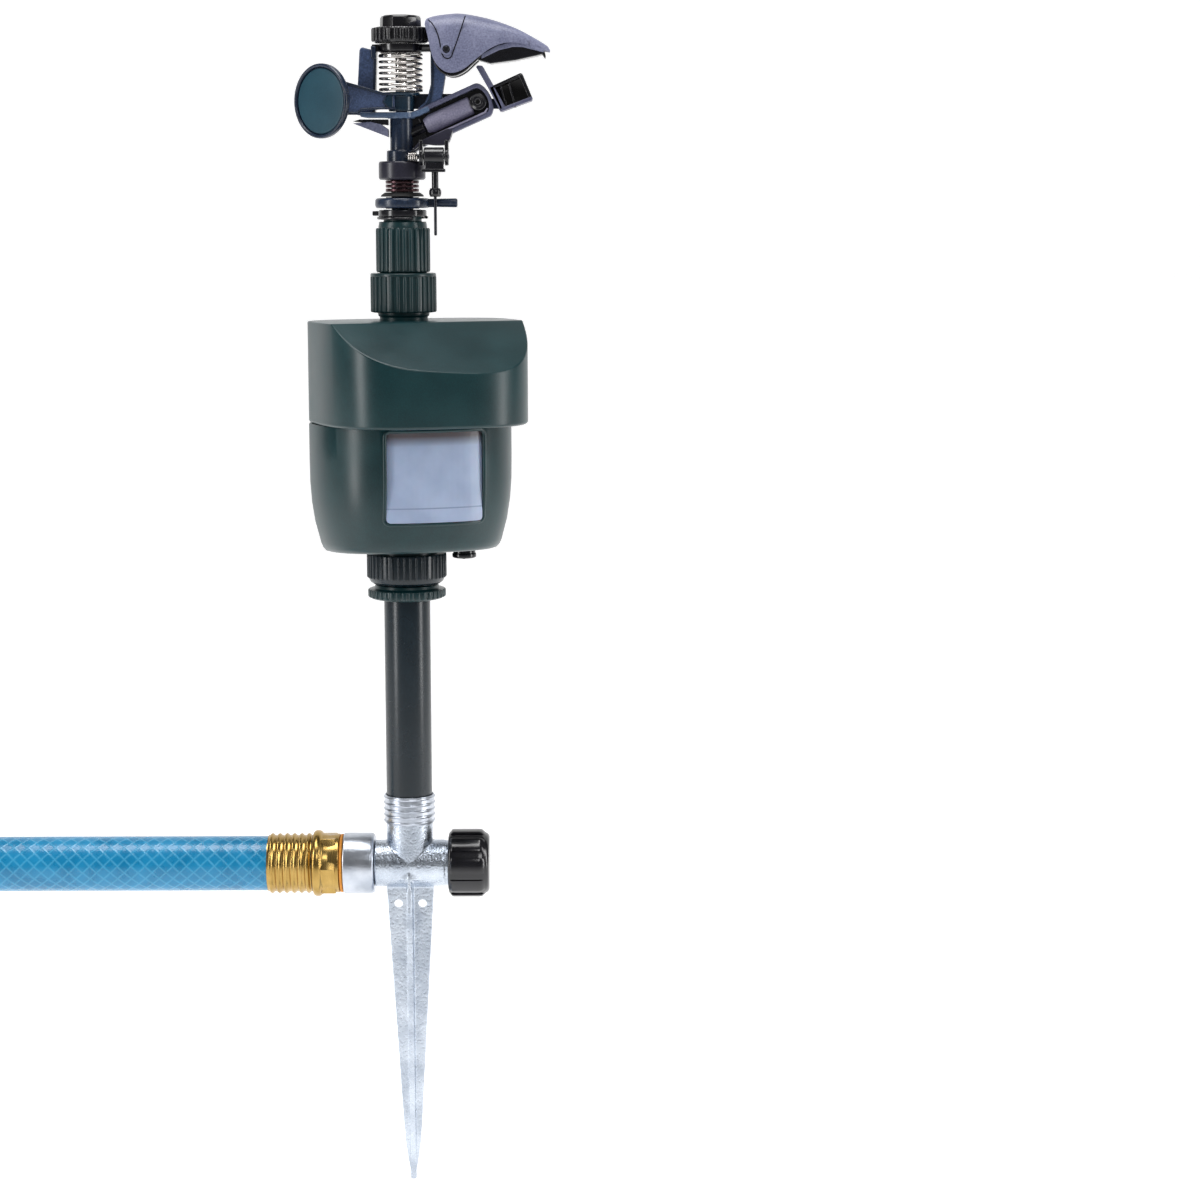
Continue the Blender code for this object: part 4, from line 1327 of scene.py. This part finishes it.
# %% Stem
stem = [
    (0, 331), (5.6, 331), (5.6, 367.5), (10.9, 367.5), (11.7, 368.2), (11.7, 375.6), (11.2, 376.4),
    (7.7, 376.4),
]
stem += [(7.7, 381.6), (7.3, 382.1), (5.9, 382.1), (5.8, 399), (0, 399)]
collar = [(5.6, 367.3), (11.0, 367.3), (11.85, 368.1), (11.85, 375.8), (11.3, 376.6), (5.6, 376.6)]
NOZZLE_TILT, NOZZLE_Z = math.radians(24.0), 388.8
NOZZLE = aim((math.cos(NOZZLE_TILT), 0, math.sin(NOZZLE_TILT)), (0, 0, NOZZLE_Z))
stub = turned("nozzle_stub", [(0, 2), (2.9, 2), (2.9, 12.4), (2.4, 12.8), (0, 12.8)], BLACK_NYLON, NOZZLE)
head_stem = gathered(
    "head_stem",
    turned("stem_tube", stem, NAVY_NYLON),
    turned("stem_collar", collar, PLUM_NYLON, fillet=0.4),
    stub,
)


# %% Platform and nozzle loop
def along_nozzle(a, b):
    """A point in the plane of the loop: a along the nozzle and b across it."""
    c, s = math.cos(NOZZLE_TILT), math.sin(NOZZLE_TILT)
    return (a * c - b * s, NOZZLE_Z + a * s + b * c)


def stadium(start, end, half, steps=20):
    points = []
    for i in range(steps + 1):
        a = -math.pi / 2 + math.pi * i / steps
        points.append(along_nozzle(end + half * 0.55 * math.cos(a), half * math.sin(a)))
    return points + [along_nozzle(start, half), along_nozzle(start, -half)]


outer_line = [
    along_nozzle(1.0, -10.3), along_nozzle(6.0, -9.3), along_nozzle(12.0, -8.9),
] + stadium(6.0, 44.6, 9.0)[:-1]
inner_line = [
    along_nozzle(3.6, -8.4), along_nozzle(8.0, -7.2), along_nozzle(13.0, -6.7),
] + stadium(6.0, 44.0, 6.7)[:-1]
loop = plate("nozzle_loop", outer_line + list(reversed(inner_line)), -5.0, 5.0, LOOP_NYLON, bevel=0)
eased(loop, 0.5)
# The inner lip is a real ledge along the loop's lower inner edge; its lighter sleeve nylon is a painted
# highlight for the bright line of light there.
lip_path = [
    along_nozzle(a, b)
    for a, b in ((5.4, -8.1), (9.0, -7.1), (13.0, -6.7), (44.0, -6.7), (46.2, -4.9))
]
lip_back = [
    along_nozzle(a, b)
    for a, b in ((45.4, -4.7), (43.6, -5.8), (13.2, -5.8), (9.4, -6.2), (6.2, -7.1))
]
lip = plate("loop_inner_lip", lip_path + lip_back, -5.5, 2.6, SLEEVE_NYLON, bevel=0.3)
# The backing is a real web that closes the loop; its black is painted shade for the shadow behind the
# sleeve.
painted_shade_backing = plate("loop_backing", stadium(2.5, 44.0, 6.9), 2.6, 4.4, BLACK_NYLON, bevel=0.2)
deck_web = [
    along_nozzle(2.0, -7.6), along_nozzle(11.4, -7.0), along_nozzle(12.6, 0.0), along_nozzle(11.6, 7.0),
    (5.0, 398.6), (5.0, 384.0),
]
deck_web = plate("deck_web", deck_web, -1.2, 3.0, BLACK_NYLON, bevel=0.3)
deck = [
    (-20.5, 398.9), (-17, 398.4), (5.5, 398.3), (9.0, 399.2), (14.5, 401.7), (14.0, 404.4), (8.2, 401.9),
    (5.0, 401.1), (-20.5, 401.2),
]
deck = plate("platform", deck, -5.2, 5.2, SKY_NYLON, bevel=0.6)
seat = turned("hub_seat", [(0, 398.0), (6.9, 398.0), (7.3, 398.6), (7.3, 401.1), (0, 401.1)], SKY_NYLON)
settle(
    gathered("head_frame_loop", loop, lip, painted_shade_backing, deck_web, deck, seat, head_stem), "head",
    "slate_plastic", "head_body",
)

# %% Uprights and top bar
LEVER = aim((1, 0, 0), (0, -11, 378.8))
rear = plate(
    "rear_upright", [(-22.6, 399.8), (-13.9, 399.8), (-12.7, 431.8), (-19.4, 433.6), (-20.6, 432.4)],
    -3.6, 3.6, BLUE_NYLON, bevel=0.7,
)
rear_rib = plate(
    "rear_rib", [(-14.4, 399.8), (-13.0, 399.8), (-11.9, 431.8), (-13.2, 431.8)], -4.3, 4.3, NAVY_NYLON,
    bevel=0.3,
)
front = plate(
    "front_upright", [(15.2, 405.2), (20.6, 407.6), (22.4, 418), (22.4, 431.6), (15.2, 431.6)], -3.9, 3.9,
    BLUE_NYLON, bevel=0.6,
)
web = [
    (8.9, 401.0), (12.0, 402.6), (18, 406.2), (18, 413.5), (15.4, 416), (13.8, 409.5), (12.0, 406.0),
    (9.6, 403.9), (8.9, 403.5),
]
gusset = plate("gusset", web, -3.5, 3.5, BLUE_NYLON, bevel=0.4)
edge = flowing([(9.2, 403.0), (11.2, 404.0), (13.6, 407.0), (15.0, 411.5), (15.4, 417.5), (15.4, 431)], 5)
edge = [(p.x, p.y) for p in edge] + [(p.x + 1.3, p.y - 0.7) for p in reversed(edge)]
flange = plate("gusset_flange", edge, -4.3, 4.3, NAVY_NYLON, bevel=0.3)
bar = [(-14.4, 431.2), (15.2, 431.2), (15.2, 427.6), (27.5, 427.6), (27.5, 434.9), (-14.4, 434.9)]
bar = carved(
    plate("top_bar", bar, -4.1, 4.1, BLACK_NYLON, bevel=0.5),
    turned("pin_bore", [(0, 400), (3.3, 400), (3.3, 440), (0, 440)], BLACK_NYLON, fillet=0),
    turned(
        "hinge", [(0, -9), (1.9, -9), (1.9, 9), (0, 9)], BLACK_NYLON, aim((0, 1, 0), (23.7, 0, 431.8)),
        fillet=0,
    ),
)
crown = turned(
    "top_disc", [(3.4, 430.4), (9.8, 430.4), (11.6, 431.6), (11.9, 434.9), (3.4, 434.9)], BLACK_NYLON,
)
lug = block("spring_lug", (-14.6, -12.0), (-7, -3.0), (427.5, 434), NAVY_NYLON, None, 0.5)
bracket_line = flowing(
    [
        (5.6, 381.4), (8.0, 382.6), (9.8, 384.4), (12.0, 384.9), (17, 384.4), (22.4, 384.6),
        (24.6, 386.4), (26.4, 391.6),
    ],
    4,
)
bracket = [(p.x, p.y) for p in bracket_line] + [(24.0, 392.6), (9.6, 386.4)]
bracket = plate("trip_bracket", bracket, -12.2, -2.0, PLUM_NYLON, bevel=0.5)
ears = [
    carved(
        gathered(
            "bracket_ear",
            turned(
                "ear_disc", [(1.0, x), (4.6, x), (4.6, x + 1.9), (1.0, x + 1.9)], BLACK_NYLON, LEVER,
                fillet=0.5,
            ),
        ),
        turned(
            "axle", [(0, 5), (1.5, 5), (1.5, 30), (0, 30)], NAVY_NYLON, aim((1, 0, 0), (0, -11, 378.8)),
            fillet=0,
        ),
    )
    for x in (9.5, 22.4)
]
ears += [
    block("ear_web", (x, x + 1.9), (-14.6, -7.2), (380.9, 387), BLACK_NYLON, None, 0.4)
    for x in (9.5, 22.4)
]
frame_upper = gathered(
    "head_frame_upright", rear, rear_rib, front, gusset, flange, bar, crown, lug, bracket, *ears,
)
settle(frame_upper, "head", "blue_plastic")

# %% [markdown]
# ## Nozzle sleeve, screw and spreader
# The sleeve's spark-eroded skin looks violet grey in daylight. The black screw at its end sets
# how far the jet breaks up. Its head has a raised ring and a hexagonal socket.

# %% Nozzle pieces
barrel = [(2.5, 13.4), (3.6, 13.4), (4.7, 16.6), (4.7, 38.2), (4.3, 38.8), (2.5, 38.8)]
settle(
    turned("nozzle_barrel", barrel, SLEEVE_NYLON, NOZZLE, fillet=0.3), "head", "slate_plastic",
    "nozzle_sleeve",
)
tip = NOZZLE @ Vector((0, 0, 42.6))
SCREW = aim((0, -1, 0), (tip.x, 0, tip.z))
knob = [
    (0, -3.6), (2.9, -3.6), (2.9, 4.85), (4.1, 4.85), (4.25, 5.1), (4.25, 5.5), (3.9, 5.75), (3.3, 5.55),
]
knob += [(2.7, 5.35), (2.5, 5.75), (2.0, 5.8), (0, 5.8)]
screw = turned("screw_body", knob, BLACK_NYLON, SCREW, fillet=0.12)
carved(
    screw,
    turned("socket", [(0, 4.6), (1.3, 4.6), (1.3, 7), (0, 7)], BLACK_NYLON, SCREW, fillet=0, steps=6),
)
settle(screw, "diffuser_screw", "black_plastic", "diffuser_screw")
wedge = plate(
    "spreader_top", [(-24.5, 396.6), (-21.0, 397.6), (-6.4, 397.6), (-6.4, 394.6)], -3.5, 3.5,
    BLACK_NYLON, bevel=0.3,
)
face = plate(
    "spreader_face", [(-24.4, 395.6), (-15.4, 396.4), (-10.2, 395.2), (-6.5, 392.6), (-6.5, 388.7)], -3.9,
    3.2, SLATE_NYLON, bevel=0.3,
)
settle(gathered("rear_jet_spreader", wedge, face), "head", "black_plastic", "rear_spreader")
pin = [(0, 401.2), (3.0, 401.2), (3.0, 434.6), (2.6, 434.8), (0, 434.8)]
settle(turned("arm_pin", pin, SPRING_STEEL), "head", "steel", "fulcrum_pin")

# %% [markdown]
# ## Springs and tension cap
# The arm spring is bright drawn wire, and turning the cap winds it tighter. The trip spring is a
# tiny one. Both are wound by the same tree, with different numbers.

# %% Springs
main = wound(
    "main_coil", 10.5, 0.8, 412.1, 429.5, 6.25, SPRING_STEEL, Matrix.Rotation(math.radians(-140), 4, "Z"),
)
ends = [
    wound(
        "closing_coil", 10.5, 0.8, z, z + 0.5, 0.9, SPRING_STEEL,
        Matrix.Rotation(math.radians(a), 4, "Z"),
    )
    for z, a in ((412.05, 100), (429.2, -60))
]
settle(gathered("arm_coil_spring", main, *ends), "head", "steel", "arm_spring")
settle(
    wound("trip_coil_spring", 1.95, 0.42, 3.8, 8.4, 4.5, SPRING_STEEL, LEVER), "head", "steel",
    "trip_spring",
)

# %% Tension cap
skirt = [
    (0, 435.4), (12.6, 435.4), (13.4, 435.9), (14.0, 437.0), (14.2, 442.4), (13.6, 443.2), (12.6, 443.5),
    (0, 443.5),
]
drum = turned("cap_skirt", skirt, BLACK_NYLON, fillet=0.3)
flutes = row("cap_flutes", rib(14.1, 436.3, 443.0, 2.1, 0.72, 0.7), 30, BLACK_NYLON)
top = turned(
    "cap_top", [(0, 441), (10.6, 441), (10.3, 448.2), (9.3, 449.3), (0, 449.3)], BLACK_NYLON, fillet=0.6,
    steps=10,
)
top.data.set_sharp_from_angle(angle=math.radians(25))
settle(
    gathered("spring_tension_cap", drum, flutes, eased(top, 0.35)), "tension_cap", "black_plastic",
    "tension_cap",
)

# %% [markdown]
# ## Impact arm and spoon
# The jet strikes the spoon and kicks the arm aside, and the spring brings it back to knock the
# head round a little. The arm is a flanged beam, light yet stiff, with the weight at one end.

# %% Arm
SWING = Matrix.Translation((0, -4.9, 0)) @ Matrix.Rotation(math.radians(14), 4, "Z")
hub = [
    (3.4, 401.6), (6.3, 401.6), (6.5, 402.2), (6.5, 409.0), (9.2, 409.4), (9.7, 409.9), (9.7, 410.6),
    (9.0, 411.1), (3.4, 411.1),
]
hub = turned("arm_hub", hub, HUB_NYLON, fillet=0.4)
web = [
    (-3.2, 402.8), (-9.5, 402.8), (-19.6, 402.2), (-22, 400.6), (-29.5, 400.6), (-29.5, 415.8),
    (-9, 410.0), (-3.2, 410.0),
]
web = plate("arm_web", web, -1.1, 1.1, BLUE_NYLON, SWING, 0.3)
top_flange = [(-30.2, 415.2), (-9, 409.4), (-2.8, 409.4), (-2.8, 410.8), (-9, 410.8), (-30.2, 416.6)]
top_flange = plate("arm_top_flange", top_flange, -2.1, 2.1, NAVY_NYLON, SWING, 0.35)
low_flange = [
    (-30.2, 399.6), (-22, 399.6), (-19.6, 401.7), (-9.5, 402.4), (-3.0, 402.4), (-3.0, 403.5),
    (-9.5, 403.5),
]
low_flange += [(-20.4, 402.9), (-22.6, 400.9), (-30.2, 400.9)]
low_flange = plate("arm_low_flange", low_flange, -2.1, 2.1, NAVY_NYLON, SWING, 0.35)
brace = [(-29.4, 401.0), (-28.2, 401.0), (-24.4, 408.6), (-25.3, 409.2)]
brace = plate("arm_brace", brace, -1.9, -0.9, BLUE_NYLON, SWING, 0.3)
hub_web = [(-6.6, 402.4), (-4.2, 402.4), (-4.2, 410.4), (-6.6, 410.4), (-9.4, 406.0)]
hub_web = plate("hub_web", hub_web, -1.8, 1.8, HUB_NYLON, SWING, 0.5)
bar = [(-3, 403), (52, 403), (49, 408), (30, 409), (29, 410.6), (-3, 410.6)]
bar = plate("arm_bar", bar, 5.5, 8.2, NAVY_NYLON, bevel=0.4)
boss = block("arm_boss", (-4, 4), (4.4, 8.2), (402.7, 410.6), HUB_NYLON, None, 0.6)

# %% Spoon
member = [
    (50.1, 401.4), (52.8, 402.4), (53.0, 403.2), (41.4, 424.0), (38.9, 424.2), (38.2, 423.4),
    (44.3, 412.8),
]
member = plate("spoon_post", member, -7.0, 8.2, LOOP_NYLON, bevel=0)
carved(
    member,
    plate(
        "post_gap", [(34, 415.0), (45.6, 415.0), (52.6, 403.4), (46, 399)], -4.2, 4.2, LOOP_NYLON,
        bevel=0,
    ),
)
eased(member, 0.35)
box = [(44.6, 413.2), (60.6, 420.4), (61.6, 419.8), (66.4, 408.2), (66.0, 407.0), (50.5, 401.5)]
cup = plate("spoon_cup", box, -7.0, 8.2, BLACK_NYLON, bevel=0)
carved(
    cup,
    plate(
        "cup_gap", [(47.4, 412.9), (60.0, 418.5), (64.4, 408.4), (51.4, 403.4)], -9, 6.6, BLACK_NYLON,
        bevel=0,
    ),
)
eased(cup, 0.35)
vanes = [
    plate(
        "vane",
        [(x, 402.9 + 0.3 * k), (x + 0.9, 403.1 + 0.3 * k), (x - 2.4, 414.8 + k), (x - 3.3, 414.5 + k)],
        -5.4, 6.9, BLACK_NYLON, bevel=0.25,
    )
    for k, x in enumerate((53.0, 57.4))
]
lower_lip = plate(
    "spoon_lip", [(50.4, 401.1), (66.2, 406.7), (66.6, 408.4), (65.4, 408.4), (51.0, 403.0)], -7.4, 8.2,
    LOOP_NYLON, bevel=0.4,
)
arm = gathered(
    "impact_arm_beam", hub, web, top_flange, low_flange, brace, hub_web, bar, boss, member, cup,
    lower_lip, *vanes,
)
settle(arm, "arm", "blue_plastic", "impact_arm")

# %% Counterweight
OUT = Vector((-math.cos(math.radians(49.5)), -math.sin(math.radians(49.5)), 0))
DISC = aim(OUT, (-38.7, -13.6, 406.4))
dish = [
    (0, -4.0), (14, -4.0), (17.4, -2.2), (18.5, -0.8), (18.6, 0.6), (18.6, 1.5), (18.2, 2.1), (17.6, 2.2),
]
dish += [(17.1, 1.9), (16.8, 1.2), (16.7, 0.2), (0, 0.2)]
settle(
    turned("counterweight_dish", dish, NAVY_NYLON, DISC, fillet=0.25), "arm", "black_plastic",
    "counterweight",
)
disc_face = [(0, 0.5), (16.3, 0.5), (16.3, 0.9), (15.9, 1.25), (0, 1.5)]
settle(
    turned("counterweight_disc", disc_face, TEAL_ABS, DISC, fillet=0.2), "arm", "teal_plastic",
    "counterweight_face",
)

# %% [markdown]
# ## Deflector hood
# The hood tips down into the jet to shorten its reach. Its shape is a beak: a channel whose top
# line and lower line are smooth curves. Cross-sections are set along the beak, each a thin inverted
# U with rounded shoulders, and joined into a skin.

# %% Beak
TOP_LINE = [
    (13.0, 445.4), (13.8, 447.2), (16.5, 448.5), (23.0, 449.5), (31.0, 449.8), (41.9, 447.9),
    (50.6, 445.4),
]
TOP_LINE += [(59.3, 442.0), (68.0, 437.4), (74.1, 433.6), (75.4, 431.6)]
LOW_LINE = [
    (13.0, 443.8), (14.0, 440.0), (15.2, 434.6), (16.2, 429.8), (17.8, 425.8), (20.4, 422.6),
    (23.2, 420.8), (26.0, 420.2),
]
LOW_LINE += [(29.6, 420.9), (33.4, 422.9)]
LOW_LINE += [
    (37.6, 426.3), (41.8, 429.7), (46.0, 432.5), (51.0, 434.6), (56.0, 435.3), (61.5, 434.6),
    (68.0, 432.4), (75.4, 430.9),
]


def height_on(line, x):
    """The height of a smooth line at x."""
    points = flowing(line, 8)
    for a, b in zip(points, points[1:]):
        if a.x <= x <= b.x and b.x > a.x:
            return a.y + (b.y - a.y) * (x - a.x) / (b.x - a.x)
    return points[-1].y


def half_width(x):
    """The beak is parallel by the hinge and narrows to its tip."""
    return 13.5 - 0.9 * max(
        0.0, (15.5 - x) / 3.5,
    ) ** 2 - max(0.0, x - 36.0) * 0.155 - max(0.0, x - 66.0) ** 2 * 0.035


def arch(x, low, top, half, shoulder):
    """One side of an inverted U, from the left foot over the crown to the right foot."""
    reach = min(shoulder, (top - low) * 0.7, half * 0.8)
    points = [Vector((x, -half, low + (top - reach - low) * k / 5)) for k in range(5)]
    for k in range(9):
        a = math.pi / 2 * k / 8
        points.append(Vector((x, -half + reach * (1 - math.cos(a)), top - reach * (1 - math.sin(a)))))
    crown = [
        Vector((x, (-half + reach) * (1 - k / 4), top + 0.35 * (1 - (1 - k / 4) ** 2)))
        for k in range(1, 5)
    ]
    points += crown
    return points + [Vector((p.x, -p.y, p.z)) for p in reversed(points[:-1])]


stations = [13.0 + 0.5 * i for i in range(14)] + [20.5 + 1.25 * i for i in range(37)]
rings = []
for x in stations:
    low, top, half = height_on(LOW_LINE, x), height_on(TOP_LINE, x), half_width(x)
    inner_top = max(top - 2.2, low + 0.6)
    rings.append(arch(x, low, top, half, 10.0) + list(reversed(arch(x, low, inner_top, half - 2.0, 8.5))))
skin = carved(
    lofted("beak_skin", rings, SLATE_NYLON),
    turned(
        "hinge_room", [(0, -20), (1.9, -20), (1.9, 20), (0, 20)], SLATE_NYLON,
        aim((0, 1, 0), (23.7, 0, 431.8)), fillet=0,
    ),
)
skin.data.set_sharp_from_angle(angle=math.radians(50))
rings = []
for x in [64.6 + 0.9 * i for i in range(12)] + [75.2, 75.4]:
    low, top, half = height_on(LOW_LINE, x), height_on(TOP_LINE, x), half_width(x)
    rings.append(arch(x, low, max(top, low + 0.5), max(half, 1.5), 10.0))
tip = lofted("beak_tip", rings, SLATE_NYLON, sharp=50)
belly_line = [
    (17.2, 425.6), (19.4, 422.0), (22.0, 419.8), (25.6, 418.6), (29.4, 419.2), (33.4, 421.4),
    (37.6, 425.2), (41.0, 428.2),
]
belly = [(p.x, p.y) for p in flowing(belly_line, 5)] + [
    (41.0, 430.6), (34, 425.8), (29, 423.4), (25, 422.9), (20.4, 425.4), (17.6, 428.6),
]
# The black flanges inside the belly are painted shade: dark plates for the shadowed inner walls of the
# channel, seen from below.
shadow_flanges = [
    plate(
        "belly_flange", belly, *sorted((side * 4.7, side * 11.4)), BLACK_NYLON, bevel=0.4,
    ) for side in (-1, 1)
]

# %% Hinge strap and lip
strap = [
    (14.6, 446.4), (16.6, 444.6), (18.6, 441.4), (20.2, 436.6), (21.2, 431.0), (22.3, 428.2),
    (24.3, 427.2),
]
strap += [(26.2, 428.2), (27.4, 431.4), (29.4, 436.6), (31.6, 443.0), (33.4, 448.2)]


def seam(points, width, depth_from, depth_to, side):
    """A thin raised bead that follows a line on the beak's flank."""
    rings = []
    path = flowing(points, 5)
    for i, p in enumerate(path):
        ahead = path[min(i + 1, len(path) - 1)] - path[max(i - 1, 0)]
        across = Vector((-ahead.y, ahead.x)).normalized() * width / 2
        a, b = p + across, p - across
        y, out = side * depth_from, side * depth_to
        rings.append(
            [
                Vector((a.x, y, a.y)), Vector((b.x, y, b.y)), Vector((b.x, out, b.y)),
                Vector((a.x, out, a.y)),
            ]
        )
    return lofted("seam", rings, BLACK_NYLON)


beads = [seam(strap, 0.55, 13.2, 13.62, side) for side in (-1, 1)]
pads = [
    turned(
        "pin_pad", [(1.9, 13.0), (2.9, 13.0), (2.9, 13.8), (2.6, 13.95), (1.9, 13.95)], SLATE_NYLON,
        aim((0, side, 0), (23.7, 0, 431.8)), fillet=0.1,
    )
    for side in (-1, 1)
]
beak = gathered("deflector_beak", skin, tip, *shadow_flanges, *beads, *pads)
settle(beak, "deflector", "slate_plastic", "deflector")
lip = [
    (38.6, 427.0), (45.5, 425.0), (58, 426.6), (69.0, 428.9), (71.6, 429.6), (72.6, 427.6), (73.4, 428.0),
    (73.0, 430.6),
]
lip += [(66.5, 433.4), (60, 436.0), (55, 436.2), (50, 434.6), (44, 431.8)]
lip = plate("lip_plate", lip, -7.6, 7.6, BLACK_NYLON, bevel=0.5)
ledge = plate(
    "lip_ledge",
    [
        (41, 427.4), (50, 431.6), (57, 433.2), (62, 433.0), (72.4, 430.4), (72.2, 431.6), (62, 435.0),
        (56, 435.6), (49, 433.8), (41, 429.6),
    ],
    -8.4, 8.4, SLATE_NYLON, bevel=0.3,
)
settle(gathered("deflector_inner_lip", lip, ledge), "deflector", "black_plastic", "deflector_lip")
hinge = [(0, -14.0), (1.3, -14.0), (1.6, -13.7), (1.6, 13.7), (1.3, 14.0), (0, 14.0)]
settle(
    turned("hinge_pin", hinge, SCREW_STEEL, aim((0, 1, 0), (23.7, 0, 431.8)), fillet=0.1), "head",
    "steel", "deflector_pin",
)

# %% [markdown]
# ## Trip lever
# The little drum on its axle flips between two positions, and flips the arm's stroke with it. Its
# rod ends in a nut and a stiff wire that meets the fingers of the trip rings.

# %% Lever
drum = [(0, 11.8), (4.1, 11.8), (4.6, 12.2), (4.6, 21.6), (4.1, 22.0), (0, 22.0)]
drum = carved(
    turned("lever_drum", drum, BLACK_NYLON, LEVER, fillet=0.3),
    turned("axle_room", [(0, 5), (1.5, 5), (1.5, 30), (0, 30)], BLACK_NYLON, LEVER, fillet=0),
)
neck = plate(
    "lever_neck", [(12.4, 376.6), (21.8, 376.6), (21.8, 373), (22.4, 371.6), (11.6, 371.6), (12.4, 373)],
    -14.4, -7.8, BLACK_NYLON, bevel=0.5,
)
foot = block("lever_foot", (10.4, 22.6), (-14.6, -7.6), (371.0, 372.6), BLACK_NYLON, None, 0.4)
POST = Matrix.Translation((17.3, -11, 0))
post = turned(
    "lever_rod", [(0, 359.9), (1.4, 359.9), (1.7, 360.6), (1.7, 373), (0, 373)], BLACK_NYLON, POST,
    fillet=0.2,
)
lever = gathered("trip_lever_drum", drum, neck, foot, post)
settle(lever, "trip_lever", "black_plastic", "trip_lever")
nut = [(2.05, 358.7), (2.5, 358.7), (3.1, 360.0), (3.1, 361.6), (2.5, 363.0), (2.05, 363.0)]
settle(
    turned("rod_lock_nut", nut, BLACK_NYLON, POST, fillet=0.3, steps=24), "trip_lever", "black_plastic",
    "rod_nut",
)
wire = [(0, 339.3), (0.5, 339.3), (0.75, 339.7), (0.75, 359.7), (0, 359.7)]
settle(
    turned("trip_feeler_wire", wire, SCREW_STEEL, POST, fillet=0.15, steps=32), "trip_lever", "steel",
    "trip_wire",
)
axle = [(0, 2.4), (0.9, 2.4), (1.2, 2.8), (1.2, 24.2), (0.9, 24.6), (0, 24.6)]
settle(turned("lever_axle_pin", axle, SCREW_STEEL, LEVER, fillet=0.1), "head", "steel", "lever_axle")

# %% [markdown]
# ## Pieces that stay as they came
# Seals, batteries, circuit board and valve lie inside the housing. Their exact solids are right
# as they are, and only get real finishes in place of the plain ones.

# %% Hidden pieces
BATTERY_FOIL = metal("battery_printed_foil", "#3A3B40", "#55575D", 6.0, 0.01, 0.25, 0.4)
BOARD = moulded("circuit_board_green", "#0B3B1C", "#145A2B", 1.5, 0.01, 0.3, 0.5)
INSIDE = {
    "black_plastic": BLACK_NYLON,
    "green_plastic": NUT_ABS,
    "rubber": BLACK_RUBBER,
    "copper": COPPER,
    "steel": SCREW_STEEL,
    "circuit_board": BOARD,
    "battery": BATTERY_FOIL,
}
kept = 0
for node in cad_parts.values():
    if node.hide_render:
        continue
    for place in node.material_slots:
        base = place.material.name.split(".")[0]
        if base in INSIDE:
            place.material = INSIDE[base]
            kept += 1
print("solids kept with new finishes:", kept)

# %% Sizes and end
low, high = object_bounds()
print("visual box, mm:", [round(v / MM, 1) for v in high - low])
